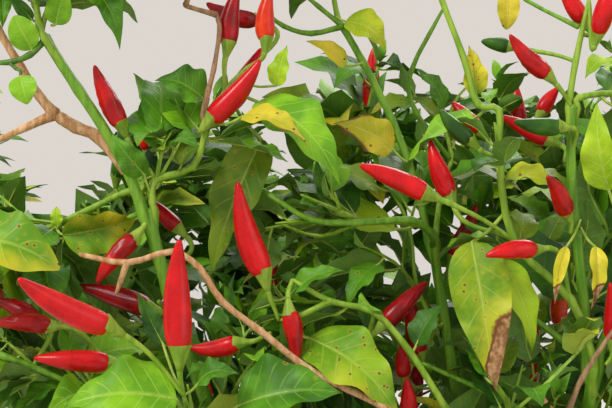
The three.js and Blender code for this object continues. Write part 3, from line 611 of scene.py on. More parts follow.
handShare = dict(tip=0.8, twig=0.85)  # of a radius, at the tip of a listed axis and at the foot of its twig
stemRule = dict(lead=4, lift=0.35, bareFoot=2, dressed=4)
skirtLift = 0.8
limbRods = 5
tipSwell = 1.12
nearby = dict(mass=12, bough=75)  # how far past a mass, and round a point of a bough, the rods are looked at
forward = np.array((0.0, -1.0, 0.0))
up = np.array((0.0, 0.0, 1.0))


def vec(xyz):
    return np.array(xyz, float)


def unit(v):
    return v / math.sqrt(v @ v)


def along(a, b):
    return unit(b - a)


def mixed(*pairs):
    return unit(sum(direction * share for direction, share in pairs))


def turned(v, axis, angle):
    # v turned about the unit axis
    cos, sin = math.cos(angle), math.sin(angle)
    return v * cos + np.cross(axis, v) * sin + axis * (axis @ v) * (1 - cos)


def squareTo(direction):
    steep = 0.8
    helper = up if abs(direction[2]) < steep else np.array((0.0, 1.0, 0.0))
    return unit(np.cross(helper, direction))


def seeded(seed):
    # the same run of numbers from 0 to 1 as in the source
    whole = 0xFFFFFFFF
    state = seed & whole

    def draw():
        nonlocal state
        state = (state + 0x6D2B79F5) & whole
        t = ((state ^ (state >> 15)) * (1 | state)) & whole
        t ^= (t + (((t ^ (t >> 7)) * (61 | t)) & whole)) & whole
        return (t ^ (t >> 14)) / (whole + 1)

    return draw


def bezier(points, share):
    a, b, c, d = points
    rest = 1 - share
    return a * rest**3 + b * 3 * rest**2 * share + c * 3 * rest * share**2 + d * share**3


def curveTo(start, leave, end, arrive):
    pull = math.dist(start, end) / 3
    return start, start + leave * pull, end - arrive * pull, end


def taper(count, first, last):
    return [first + (last - first) * i / (count - 1) for i in range(count)]


def forkStarts(tip, heading, children):
    # where each child of a fork stands round its parent's tip, so that none touches another
    normal = squareTo(heading)
    across = np.cross(heading, normal)

    def bearing(child):
        way = along(tip, child["aim"])
        return math.atan2(way @ across, way @ normal)

    placed = sorted(children, key=bearing)
    count = len(placed)
    widest = max(child["radius"] for child in children)
    offset = (widest + keep["side"]) / math.sin(math.pi / count) if count > 1 else 0
    step = 2 * math.pi / count
    first = sum(bearing(child) - i * step for i, child in enumerate(placed)) / count
    starts = {}
    for i, child in enumerate(placed):
        angle = first + i * step
        side = normal * math.cos(angle) + across * math.sin(angle)
        starts[child["name"]] = tip + heading * keep["joint"] + side * offset
    return starts


def layOut():
    # every limb, and the foot of every mass's stem, from the trunk outwards
    starts = {"trunk": vec((0, 0, 0))}
    for name, limb in limbs.items():
        leave = limbs[limb["parent"]]["tipWay"] if "parent" in limb else up
        end, heading = vec(limb["to"]), unit(vec(limb["heading"]))
        limb["curve"] = curveTo(starts[name], leave, end, heading)
        limb["tipWay"] = heading
        children = []
        for child, spec in limbs.items():
            if spec.get("parent") == name:
                children.append(dict(name=child, aim=vec(spec["to"]), radius=spec["radii"][0]))
        for child, spec in masses.items():
            if spec["parent"] == name and "height" not in spec:
                aim = vec(spec["way"][0] if "way" in spec else spec["heart"])
                children.append(dict(name=child, aim=aim, radius=spec["radius"]))
        starts.update(forkStarts(end, heading, children) if children else {})
        for child in children:
            spec = limbs.get(child["name"]) or masses[child["name"]]
            spec["from"] = end - heading * keep["sunk"]
    trunk = limbs["trunk"]
    for name, mass in masses.items():
        mass["centre"] = vec(mass["heart"])
        if "height" in mass:
            share = mass["height"] / trunk["to"][2]
            axis = bezier(trunk["curve"], share)
            outward = unit((mass["centre"] - axis) * (1, 1, 0))
            mass["from"] = axis
            mass["leave"] = mixed((outward, 1), (up, skirtLift))
            thick = trunk["radii"][0] + (trunk["radii"][1] - trunk["radii"][0]) * share
            edge = mass["radius"] * math.cos(math.pi / 3) * mass["leave"][2]
            mass["start"] = axis + outward * (thick + keep["joint"] + edge)
        else:
            mass["start"] = starts[name]
            mass["leave"] = limbs[mass["parent"]]["tipWay"]


def stemPoints(mass):
    # the stem of a mass: its own points, or an even curve from its foot to its heart
    points = [mass["start"], mass["start"] + mass["leave"] * stemRule["lead"]]
    if "way" in mass:
        return points + [vec(point) for point in mass["way"]]
    outward = mixed((along(points[1], mass["centre"]), 1), (up, stemRule["lift"]))
    bend = curveTo(points[1], mass["leave"], mass["centre"], outward)
    count = max(2, round(math.dist(points[1], mass["centre"]) / rule["internode"]))
    return points + [bezier(bend, i / count) for i in range(1, count + 1)]


def segmentGaps(a, b, c, d):
    # shortest distance between each segment a-b and each segment c-d
    u, w = b - a, d - c
    r = a[:, None] - c[None]
    uu, ww = (u * u).sum(1)[:, None], (w * w).sum(1)[None]
    uw = u @ w.T
    ur, wr = (u[:, None] * r).sum(2), (w[None] * r).sum(2)
    det = uu * ww - uw * uw
    parallel = 1e-9
    apart = det > parallel
    s = np.where(apart, (uw * wr - ww * ur) / np.where(apart, det, 1), 0).clip(0, 1)
    t = ((uw * s + wr) / ww).clip(0, 1)
    s = ((uw * t - ur) / uu).clip(0, 1)
    return np.linalg.norm(r + u[:, None] * s[..., None] - w[None] * t[..., None], axis=2)


class Rods:
    # what twigs, fruits and leaves keep clear of: segments, each a row of start, end, radius, owner, middle
    # and how far it reaches from there
    columns, spare = 12, 2000

    def __init__(self, rows=None):
        self.rows = np.empty((0, self.columns)) if rows is None else rows
        self.count = len(self.rows)

    def add(self, starts, ends, radii, owner):
        starts = np.atleast_2d(starts)
        fresh = np.empty((len(starts), self.columns))
        fresh[:, 0:3], fresh[:, 3:6], fresh[:, 6], fresh[:, 7] = starts, ends, radii, owner
        fresh[:, 8:11] = (fresh[:, 0:3] + fresh[:, 3:6]) / 2
        fresh[:, 11] = np.linalg.norm(fresh[:, 3:6] - fresh[:, 0:3], axis=1) / 2 + fresh[:, 6]
        if self.count + len(fresh) > len(self.rows):
            room = np.empty((len(self.rows) + self.spare, self.columns))
            self.rows = np.vstack([self.rows[: self.count], room])
        self.rows[self.count : self.count + len(fresh)] = fresh
        self.count += len(fresh)

    def addChain(self, points, radii, owner):
        points = np.array(points)
        self.add(points[:-1], points[1:], np.maximum(radii[:-1], radii[1:]), owner)

    def near(self, centre, reach):
        rows = self.rows[: self.count]
        away = rows[:, 8:11] - centre
        return Rods(rows[(away * away).sum(1) < (rows[:, 11] + reach) ** 2])

    def clear(self, starts, ends, radius, owner, fine):
        # true if the segments stay off all that others hold, and touch nothing of their own
        starts, ends = np.atleast_2d(starts), np.atleast_2d(ends)
        off, own = (keep["fineOff"], keep["fineOwn"]) if fine else (keep["off"], keep["own"])
        low, high = np.minimum(starts, ends).min(axis=0), np.maximum(starts, ends).max(axis=0)
        rows = self.near((low + high) / 2, math.dist(low, high) / 2 + radius + off).rows
        mine = rows[:, 7] == owner
        others, rows = rows[~mine], rows[mine]
        gaps = segmentGaps(starts, ends, others[:, 0:3], others[:, 3:6])
        if (gaps <= others[:, 6] + radius + off).any():
            return False
        gaps = segmentGaps(starts + (ends - starts) * keep["ownStart"], ends, rows[:, 0:3], rows[:, 3:6])
        return not (gaps <= rows[:, 6] + radius + own).any()


rods = Rods()


def holds(mass, points, radius):
    # true if balls of this radius round the points lie in the space of the mass
    points = np.atleast_2d(points)
    own = ((points - mass["centre"]) ** 2).sum(1) - mass["reach"] ** 2
    if (own > 0).any() and not mass["free"]:
        return False
    power = ((points[:, None] - mass["others"][None]) ** 2).sum(2) - mass["otherReach"] ** 2
    if mass["free"]:
        # a side shoot of a bough may go wherever the masses reach, and a little past that inside the crown
        return bool(((own < sideShoot["slack"]) | (power < sideShoot["slack"]).any(axis=1)).all())
    return bool((power - own[:, None] > mass["apart"] * (radius + keep["cell"])).all())


def leafShape(root, tip, wide, face):
    way, length = along(root, tip), math.dist(root, tip)
    normal = unit(face - way * (face @ way))
    side = np.cross(normal, way)
    lift = normal * length * leafRule["arch"]
    edge = root + way * length * leafRule["widest"] + lift + normal * wide / 2 * leafRule["fold"]
    return dict(
        root=root, tip=tip, way=way, normal=normal, length=length, wide=wide,
        left=edge + side * wide / 2, right=edge - side * wide / 2,
        rib=root + way * length * leafRule["rib"] + lift,
    )


def leafLines(leaf):
    start = leaf["root"] + leaf["way"] * leaf["length"] * leafRule["petiole"]
    middles = [leaf["left"], (leaf["rib"] + leaf["left"]) / 2, leaf["rib"]]
    middles += [(leaf["rib"] + leaf["right"]) / 2, leaf["right"]]
    starts, ends = [], []
    for middle in middles:
        starts += [start, middle]
        ends += [middle, leaf["tip"]]
    return np.array(starts), np.array(ends)


def fruitShape(foot, neck, tip):
    way, length = along(neck, tip), math.dist(neck, tip)
    fat = min(fruitRule["radius"], fruitRule["slim"] + length * fruitRule["swell"])
    points = [foot, neck, neck + way * fruitRule["shoulder"] * length, tip]
    return dict(points=points, radii=[fruitRule["foot"], fruitRule["calyx"], fat, 0], fat=fat)


def nearFruit(spec):
    return fruitShape(vec(spec["foot"]), vec(spec["neck"]), vec(spec["tip"]))


def placeByHand(name):
    # what a mass lists: its stem, its own twigs, fruits and leaves
    mass, leaves = masses[name], []
    stem = stemPoints(mass)
    radii = taper(len(stem), mass["radius"], rule["radius"][0] * handShare["tip"])
    mass["axes"] = [dict(points=stem, radii=radii, order=0)]
    for twig in mass.get("twigs", ()):
        points = [stem[twig["node"]]] + [vec(point) for point in twig["way"]]
        radii = taper(len(points), mass["radius"] * handShare["twig"], rule["radius"][1] * handShare["tip"])
        mass["axes"].append(dict(points=points, radii=radii, order=1, look=twig.get("look")))

    def rootOf(organ):
        return (mass["axes"][organ["twig"] + 1]["points"] if "twig" in organ else stem)[organ["node"]]

    for fruit in mass.get("fruits", ()):
        mass["grownFruits"].append(fruitShape(rootOf(fruit), vec(fruit["neck"]), vec(fruit["tip"])))
    for leaf in mass.get("leaves", ()):
        leaves.append(leafShape(rootOf(leaf), vec(leaf["tip"]), leaf["wide"], unit(vec(leaf["face"]))))
    for axis in mass["axes"]:
        rods.addChain(axis["points"], axis["radii"], mass["index"])
    for fruit in mass["grownFruits"]:
        rods.addChain(fruit["points"], fruit["radii"], mass["index"])
    for leaf in leaves:
        starts, ends = leafLines(leaf)
        rods.add(starts, ends, leaf["wide"] * keep["handLeaf"], mass["index"])


def grow(mass, start, heading, order, seed, finest):
    # one shoot by the rule, and the shoots, leaves and fruits at its nodes
    draw = seeded(seed)
    radius = rule["radius"][order]
    points, nodes = [start], []
    way = heading
    side = turned(squareTo(way), way, draw() * 2 * math.pi)
    fine = order > 1
    for step in range(rule["steps"][order]):
        spread = 1 + rule["spread"] * (draw() - 0.5)
        end = points[-1] + way * rule["internode"] * rule["shrink"] ** order * spread
        inside = holds(mass, end, radius) and not (fine and inSky(end))
        if not inside or not mass["local"].clear(points[-1], end, radius, mass["index"], fine):
            break
        points.append(end)
        side = turned(unit(side - way * (side @ way)), way, rule["turn"])
        ownSeed = seed * seedStep["order"] + step * seedStep["node"] + 1
        nodes.append(dict(point=end, way=way, side=side, seed=ownSeed, order=order))
        way = mixed((way, math.cos(rule["fork"])), (side, -math.sin(rule["fork"])), (up, rule["rise"]))
    if nodes:
        radii = [radius * (1 - rule["taper"] * i / len(points)) for i in range(len(points))]
        mass["axes"].append(dict(points=points, radii=radii, order=order, seed=seed, nodes=nodes))
        hold(mass, points, radii)
        nodes[-1]["last"] = True
        for node in nodes:
            dressNode(mass, node, finest)


def hold(mass, points, radii):
    mass["local"].addChain(points, radii, mass["index"])
    rods.addChain(points, radii, mass["index"])


def branchOf(node, turn=0):
    side, fork = turned(node["side"], node["way"], turn), rule["fork"]
    return mixed((node["way"], math.cos(fork)), (side, math.sin(fork)), (up, rule["rise"]))


def dressNode(mass, node, finest):
    # a side shoot, a fruit and leaves, each left out if it has no room
    mass["nodes"].append(node)
    draw = seeded(node["seed"])
    fine = node["order"] > 1
    bears = draw() < (fineShoot["fruits"] if fine else fruitRule["chance"])
    length = fruitRule["length"] * (1 + fruitRule["spread"] * (draw() - 0.5))
    lean = fruitRule["lean"] * (draw() - fruitRule["upright"])
    if bears:
        for turn in fruitRule["turns"]:
            out = turned(node["side"], node["way"], turn)
            way = mixed((up, 1), (out, lean), (node["way"], fruitRule["follow"]))
            if addFruit(mass, node, out, way, length):
                break
    if node["order"] < finest:
        start = node["point"] - node["way"] * rootStep["shoot"]
        grow(mass, start, branchOf(node), node["order"] + 1, node["seed"], finest)
    count = leafRule["atTip"] if node.get("last") else leafRule["atNode"]
    size = fineShoot["leafSize"] if fine else 1
    for i in range(count):
        length = size * leafRule["length"] * (1 + leafRule["spread"] * (2 * draw() - 1))
        lift = leafRule["lift"] - leafRule["droop"] * draw()
        spin = i * 2 * math.pi / count + leafRule["wander"] * (draw() - 0.5)
        root = node["point"] - node["way"] * rootStep["leaf"] * (i + 1)
        placeLeaf(mass, node, root, spin, length, lift)


def placeLeaf(mass, node, root, spin, length, lift):
    # turned on round its twig until it has room
    for turn in leafRule["turns"]:
        out = turned(-node["side"], node["way"], spin + turn)
        way = mixed((out, 1), (node["way"], leafRule["follow"]), (up, lift))
        face = mixed((up, 1), (out, mass["facing"]))
        if addLeaf(mass, leafShape(root, root + way * length, length * leafRule["wide"], face), node):
            break


def addFruit(mass, node, out, way, length):
    neck = node["point"] + mixed((way, 1), (out, -fruitRule["apart"])) * fruitRule["pedicel"]
    tip = neck + way * length
    room = fruitRule["room"]
    inside = holds(mass, tip, room["tip"]) and holds(mass, neck, room["neck"])
    fine = node["order"] > 1
    fits = inside and mass["local"].clear(neck, tip, room["side"], mass["index"], fine)
    if fits:
        fruit = fruitShape(node["point"], neck, tip)
        fruit["seed"] = node["seed"]
        mass["grownFruits"].append(fruit)
        hold(mass, fruit["points"], fruit["radii"])
    return fits


def addLeaf(mass, leaf, node):
    fine = mass["thickening"]
    starts, ends = leafLines(leaf)
    corners = np.array([leaf["tip"], leaf["left"], leaf["right"], leaf["rib"]])
    inside = holds(mass, corners, leafRule["margin"]) and not (fine and inSky(leaf["rib"]))
    fits = inside and mass["local"].clear(starts, ends, 0, mass["index"], fine)
    if fits:
        seed = node["seed"] * seedStep["leaf"] + len(mass["grownLeaves"])
        leaf.update(seed=seed, spray=node["seed"], fine=fine)
        mass["grownLeaves"].append(leaf)
        thick = keep["fineRod"] if fine else keep["leafRod"]
        mass["local"].add(starts, ends, thick, mass["index"])
        rods.add(starts, ends, thick, mass["index"])
    return fits


def fill(name):
    # dresses a mass's stem past its bare foot, then grows on from the stem's end
    mass = masses[name]
    mass["local"] = rods.near(mass["centre"], mass["reach"] + nearby["mass"])
    stem, first = mass["axes"][0]["points"], stemRule["bareFoot"]
    if "way" not in mass:
        first = max(first, len(stem) - stemRule["dressed"])
    for i in range(first, len(stem)):
        way = along(stem[i - 1], stem[i])
        side = turned(squareTo(way), way, i * rule["turn"])
        seed = mass["seed"] * seedStep["mass"] + i
        dressNode(mass, dict(point=stem[i], way=way, side=side, seed=seed, order=0), 1)
    grow(mass, stem[-1], along(stem[-2], stem[-1]), 0, mass["seed"], 1)


# Finer twigs on the shoots that the source ends with: the same rule, one order on. turns: the sides of a node
# that try one, shares: how many of them do, and tries: turns away from there where it has no room.
fineShoot = dict(
    leafSize=0.74, fruits=0.1, turns=(0, 3.1, 1.6, -1.6), shares=(1, 0.9, 0.8, 0.7), tries=(0, 0.5, -0.5),
    seedStep=101, chanceSeed=3,
)
# Small leaves in the axils, at nodes of each order. share: how many of those that have room are kept.
tuft = dict(
    counts=(4, 4, 3), share=1, size=0.66, spread=0.3, lift=0.15, droop=0.9, below=1, step=0.8, seedStep=13,
)
# How far a leaf turns its face outwards: the rule's own leaves, and the finer ones, which hang
facing = dict(rule=0.1, fine=1.1)
# Open air in front of the near side's fruits and leaves, where the photo shows nothing before them. depth:
# how far it goes, ahead: how far before a piece it starts, and shares: where along a piece it is held open.
openAir = dict(
    depth=dict(fruit=70, leaf=45, twig=40), ahead=dict(fruit=1, leaf=2, twig=4), margin=1.6, twigStep=4,
    shares=dict(fruit=(-0.12, 0.15, 0.4, 0.65, 0.9), stalk=(0.3, 0.6), leaf=(0.25, 0.5, 0.75)),
    leafWide=0.35, owner=-2,
)
# Side shoots of the boughs, which close the crown between the masses. start and until: where along a bough
# they begin and stop, and bare: other stops. steps: how far apart those of each order stand, and nearBefore:
# the boughs that reach past it have the finer ones. slack: how far, squared, they may leave the masses.
sideShoot = dict(
    steps={1: 14, 2: 9}, nearBefore=-80, start=0.16, until=0.94, slack=5000, seed=9100, clear=2.7,
    turns=(0, 1, -1, 2, -2), slope=0.02,
    bare={"bough-left-leader": 0, "bough-left-mid": 0.6, "bough-right-leader": 0, "bough-middle-leader": 0.3},
)
# Where the photo shows sky: ovals in its frame, as the middle and half the width and height, in pixels
photo = dict(middle=(306, 204), focal=1512)
skyGaps = [
    (82, 62, 12, 30), (155, 30, 30, 32), (68, 88, 18, 28), (50, 178, 55, 42), (15, 122, 20, 12),
    (300, 25, 18, 32), (455, 22, 26, 34), (446, 62, 12, 20), (325, 82, 25, 16), (432, 45, 18, 38),
    (408, 30, 12, 25), (480, 20, 14, 18), (484, 75, 14, 18), (575, 60, 14, 30), (545, 28, 15, 22),
    (560, 96, 12, 15), (375, 205, 30, 10), (170, 190, 14, 10),
]


def inSky(point):
    scale = photo["focal"] / (point[1] - shot["eye"][1])
    x = photo["middle"][0] + (point[0] - shot["eye"][0]) * scale
    y = photo["middle"][1] - (point[2] - shot["eye"][2]) * scale
    return any(((x - gap[0]) / gap[2]) ** 2 + ((y - gap[1]) / gap[3]) ** 2 < 1 for gap in skyGaps)


def thicken(name):
    # finer twigs at the nodes of a mass, and small leaves in the axils of all its nodes
    mass = masses[name]
    mass["local"] = rods.near(mass["centre"], mass["reach"] + nearby["mass"])
    for i, (turn, share) in enumerate(zip(fineShoot["turns"], fineShoot["shares"])):
        for node in [node for node in mass["nodes"] if node["order"] < 2]:
            if seeded(node["seed"] + fineShoot["chanceSeed"] + i)() < share:
                start = node["point"] - node["way"] * rootStep["shoot"]
                for away in fineShoot["tries"]:
                    before = len(mass["axes"])
                    seed = node["seed"] + i * fineShoot["seedStep"]
                    grow(mass, start, branchOf(node, turn + away), 2, seed, 2)
                    if len(mass["axes"]) > before:
                        break
    for node in mass["nodes"]:
        draw = seeded(node["seed"] + tuft["seedStep"])
        count = tuft["counts"][node["order"]]
        for i in range(count):
            length = tuft["size"] * leafRule["length"] * (1 + tuft["spread"] * (2 * draw() - 1))
            lift = tuft["lift"] - tuft["droop"] * draw()
            spin = (i + 0.5) * 2 * math.pi / count + leafRule["wander"] * (draw() - 0.5)
            root = node["point"] - node["way"] * (tuft["below"] + i * tuft["step"])
            if draw() < tuft["share"]:
                placeLeaf(mass, node, root, spin, length, lift)


def dressBoughs():
    # side shoots along each bough, each grown as part of the nearest mass
    hearts = np.array([mass["centre"] for mass in masses.values()])
    names = list(masses)
    for number, (name, limb) in enumerate(limbs.items()):
        until = sideShoot["bare"].get(name, sideShoot["until"])
        length = math.dist(limb["curve"][0], limb["curve"][3])
        order = 2 if limb["to"][1] < sideShoot["nearBefore"] else 1
        step, slope = sideShoot["steps"][order], sideShoot["slope"]
        count = 0 if name == "trunk" else int(length * (until - sideShoot["start"]) / step)
        for i in range(count):
            share = sideShoot["start"] + i * step / length
            point = bezier(limb["curve"], share)
            way = along(bezier(limb["curve"], share - slope), bezier(limb["curve"], share + slope))
            side = turned(squareTo(way), way, i * rule["turn"])
            mass = masses[names[int(np.linalg.norm(hearts - point, axis=1).argmin())]]
            if mass.get("bare"):
                continue
            mass["local"] = rods.near(point, nearby["bough"])
            mass["free"] = True
            for turn in sideShoot["turns"]:
                before = len(mass["axes"])
                heading = branchOf(dict(way=way, side=side), turn)
                outward = unit(heading - way * (heading @ way))
                start = point + outward * (limb["radii"][0] * tipSwell + sideShoot["clear"])
                seed = sideShoot["seed"] + number * seedStep["bough"] + i
                grow(mass, start, heading, order, seed, 2)
                if len(mass["axes"]) > before:
                    # its foot runs back into the bough
                    shoot = mass["axes"][before]
                    shoot["points"].insert(0, point)
                    shoot["radii"].insert(0, shoot["radii"][0])
                    break
            mass["free"] = False


def twigLine(twig):
    points, radii = [vec(point) for point in twig["way"]], twig["radii"]
    return points, list(np.interp(np.linspace(0, 1, len(points)), np.linspace(0, 1, len(radii)), radii))


def prune(mass, near):
    # takes out each shoot, leaf and fruit of the rule's that is in the way, with all that grows on it
    index, lost, axes = mass["index"], set(), []
    for axis in mass["axes"]:
        points = np.array(axis["points"])
        clear = near.clear(points[:-1], points[1:], axis["radii"][0], index, True)
        if "seed" not in axis or (axis["seed"] not in lost and clear and not inSky(points[-1])):
            axes.append(axis)
        else:
            lost.update(node["seed"] for node in axis["nodes"])
    leaves = [leaf for leaf in mass["grownLeaves"] if leaf["spray"] not in lost and not inSky(leaf["rib"])]
    leaves = [leaf for leaf in leaves if near.clear(*leafLines(leaf), 0, index, True)]
    fruits = []
    for fruit in mass["grownFruits"]:
        points = np.array(fruit["points"])
        clear = near.clear(points[1:-1], points[2:], fruit["fat"], index, True)
        if "seed" not in fruit or (fruit["seed"] not in lost and clear):
            fruits.append(fruit)
    nodes = [node for node in mass["nodes"] if node["seed"] not in lost]
    mass.update(axes=axes, grownLeaves=leaves, grownFruits=fruits, nodes=nodes)


nearSide = Rods()


def holdNearSide():
    # room for the near side's own organs and the open air before them, which what the rule grew gives way to
    owner, margin, depth, ahead = (openAir[key] for key in ("owner", "margin", "depth", "ahead"))

    def openBefore(a, b, share, gap, deep, radius):
        middle = a + (b - a) * share + forward * gap
        nearSide.add(middle, middle + forward * deep, radius, owner)

    fruits = [nearFruit(spec) for spec in moreFruits]
    for fruit in fruits:
        nearSide.addChain(fruit["points"], fruit["radii"], owner)
    for twig in moreTwigs:
        points, radii = twigLine(twig)
        rods.addChain(points, radii, owner)
        for a, b in zip(points[:-1], points[1:]) if twig.get("shown") else ():
            for share in np.arange(0, 1, openAir["twigStep"] / math.dist(a, b)):
                openBefore(a, b, share, ahead["twig"], depth["twig"], margin)
    for mass in masses.values():
        fruits += [fruit for fruit in mass["grownFruits"] if "seed" not in fruit]
    for fruit in fruits:
        foot, neck, tip, fat = fruit["points"][0], fruit["points"][1], fruit["points"][-1], fruit["fat"]
        for share in openAir["shares"]["fruit"]:
            wide = fat * (1 - max(share, 0) / 2) + margin
            openBefore(neck, tip, share, fat + ahead["fruit"], depth["fruit"], wide)
        for share in openAir["shares"]["stalk"]:
            openBefore(foot, neck, share, ahead["twig"], depth["fruit"], margin)
    for spec in nearLeaves.values():
        wide = spec["wide"]
        leaf = leafShape(vec(spec["base"]), vec(spec["tip"]), wide, unit(vec(spec["face"])))
        starts, ends = leafLines(leaf)
        nearSide.add(starts, ends, wide * keep["handLeaf"], owner)
        for share in openAir["shares"]["leaf"]:
            radius = wide * openAir["leafWide"] + margin
            openBefore(leaf["root"], leaf["tip"], share, wide / 3 + ahead["leaf"], depth["leaf"], radius)
    for mass in masses.values():
        prune(mass, nearSide)
    rows = nearSide.rows[: nearSide.count]
    rods.add(rows[:, 0:3], rows[:, 3:6], rows[:, 6], owner)


def growAll():
    layOut()
    for limb in limbs.values():
        points = [bezier(limb["curve"], i / limbRods) for i in range(limbRods + 1)]
        rods.addChain(points, taper(len(points), limb["radii"][0] * tipSwell, limb["radii"][0]), -1)
    names = list(masses)
    hearts = np.array([mass["centre"] for mass in masses.values()])
    reaches = np.array([mass["reach"] for mass in masses.values()], float)
    for index, name in enumerate(names):
        mass = masses[name]
        rest = np.arange(len(names)) != index
        mass.update(index=index, others=hearts[rest], otherReach=reaches[rest])
        mass["apart"] = 2 * np.linalg.norm(hearts[rest] - mass["centre"], axis=1)
        mass.update(nodes=[], grownFruits=[], grownLeaves=[])
        mass.update(thickening=False, facing=facing["rule"], free=False)
        placeByHand(name)
    leafy = [name for name in names if not masses[name].get("bare")]
    for name in leafy:
        fill(name)
    holdNearSide()
    for name in leafy:
        masses[name].update(thickening=True, facing=facing["fine"])
    dressBoughs()
    for name in leafy:
        thicken(name)
    kinds = ("grownLeaves", "grownFruits", "axes")
    print("grown:", {kind: sum(len(mass[kind]) for mass in masses.values()) for kind in kinds})


sharpAngle = 80


# Meshes: each part is a dictionary of corners, faces, the slot of each face, and a place on the leaf
def part(verts, quads, tris, quadSlots, triSlots, onLeaf=None):
    quads, tris = np.array(quads, int).reshape(-1, 4), np.array(tris, int).reshape(-1, 3)
    return dict(
        verts=np.array(verts, float), quads=quads, tris=tris,
        quadSlots=np.broadcast_to(quadSlots, len(quads)), triSlots=np.broadcast_to(triSlots, len(tris)),
        onLeaf=np.zeros((len(verts), 2)) if onLeaf is None else onLeaf,
    )


def makePiece(name, parts, finishes, nodes=()):
    shift = np.cumsum([0] + [len(p["verts"]) for p in parts])
    verts = np.concatenate([p["verts"] for p in parts]) * mm
    quads = np.concatenate([p["quads"] + s for p, s in zip(parts, shift)])
    tris = np.concatenate([p["tris"] + s for p, s in zip(parts, shift)])
    slots = np.concatenate([p["quadSlots"] for p in parts] + [p["triSlots"] for p in parts])
    corners = np.concatenate([quads.ravel(), tris.ravel()])
    starts = np.concatenate([np.arange(len(quads)) * 4, len(quads) * 4 + np.arange(len(tris)) * 3])
    mesh = bpy.data.meshes.new(name)
    mesh.vertices.add(len(verts))
    mesh.vertices.foreach_set("co", verts.ravel())
    mesh.loops.add(len(corners))
    mesh.loops.foreach_set("vertex_index", corners)
    mesh.polygons.add(len(starts))
    mesh.polygons.foreach_set("loop_start", starts)
    onLeaf = np.concatenate([p["onLeaf"] for p in parts])[corners]
    mesh.uv_layers.new(name="onLeaf").data.foreach_set("uv", onLeaf.ravel())
    for finish in finishes:
        mesh.materials.append(finish.material)
    mesh.polygons.foreach_set("material_index", slots.astype(np.int32))
    mesh.polygons.foreach_set("use_smooth", np.ones(len(starts), bool))
    mesh.update(calc_edges=True)
    mesh.set_sharp_from_angle(angle=math.radians(sharpAngle))
    piece = bpy.data.objects.new(name, mesh)
    bpy.context.scene.collection.objects.link(piece)
    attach(piece, "root")
    if nodes:
        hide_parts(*nodes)
    print(f"{name}: {len(quads) * 2 + len(tris)} triangles")


def roundAngles(count):
    return np.arange(count) * 2 * math.pi / count


def smooth(points, steps):
    # a rounder path through the points, with this many steps between two of them
    points = [np.array(point) for point in points]
    ends = [2 * points[0] - points[1]] + points + [2 * points[-1] - points[-2]]
    path = []
    for i in range(1, len(ends) - 2):
        a, b, c, d = ends[i - 1 : i + 3]
        for t in np.arange(steps) / steps:
            bend = (2 * a - 5 * b + 4 * c - d) * t**2
            path.append(0.5 * (2 * b + (c - a) * t + bend + (3 * b - 3 * c + d - a) * t**3))
    return path + [points[-1]]


def ringFrames(points):
    points = np.array(points)
    ways = np.gradient(points, axis=0)
    ways /= np.linalg.norm(ways, axis=1)[:, None]
    normal = squareTo(ways[0])
    normals = []
    for way in ways:
        normal = unit(normal - way * (normal @ way))
        normals.append(normal)
    normals = np.array(normals)
    return points, ways, normals, np.cross(normals, ways)


def tube(points, radii, sides, slot, shape=None, blunt=0.5):
    # radii: one number for each ring. shape: rings x sides of factors on them. blunt: how far the ends dome.
    points, ways, normals, across = ringFrames(points)
    radii = np.array(radii, float)
    angles = roundAngles(sides)
    spread = radii[:, None] * (np.ones((len(points), sides)) if shape is None else shape)
    rings = points[:, None] + normals[:, None] * (spread * np.cos(angles))[..., None]
    rings = rings + across[:, None] * (spread * np.sin(angles))[..., None]
    verts = list(rings.reshape(-1, 3))
    verts += [points[0] - ways[0] * radii[0] * blunt, points[-1] + ways[-1] * radii[-1] * blunt]
    ring = np.arange(len(points) - 1)[:, None] * sides
    here, after = np.arange(sides), (np.arange(sides) + 1) % sides
    quads = np.stack([ring + here, ring + sides + here, ring + sides + after, ring + after], axis=2)
    top = (len(points) - 1) * sides
    foot, tip = len(points) * sides, len(points) * sides + 1
    tris = [(foot, a, b) for a, b in zip(here, after)]
    tris += [(tip, top + b, top + a) for a, b in zip(here, after)]
    return part(verts, quads, tris, slot, slot)


# Leaf blades: ovate with a round base and a drawn-out tip, folded along the midrib, puckered between the side
# veins. rows and half: how finely the blade is divided. sides and steps: the same for petiole and midrib, and
# skip: the rows from one ring of the midrib to the next. rise and run: how the outline swells and thins out.
blade = dict(
    near=dict(rows=28, half=9, sides=8, steps=4, skip=2),
    mid=dict(rows=12, half=4, sides=4, steps=3, skip=3),
    far=dict(rows=8, half=2, sides=3, steps=2, skip=2),
    fine=dict(rows=7, half=2, sides=3, steps=1, skip=3),
    young=dict(rows=5, half=1, sides=3, steps=1, skip=4),
    thick=0.35, rise=0.5, run=1.2, veins=7, veinSlope=1.3, pucker=0.34, wave=0.1, ripples=2.6,
    evenRows=0.6, inset=0.004, edgeColumns=0.85, foldRound=0.25, foldNarrows=0.8, twistFrom=0.4, tipCurl=0.5,
    petiole=0.16, petioleThick=0.62, petioleSag=0.08, ribDepth=0.75, ribFoot=0.75, ribTip=0.2,
)


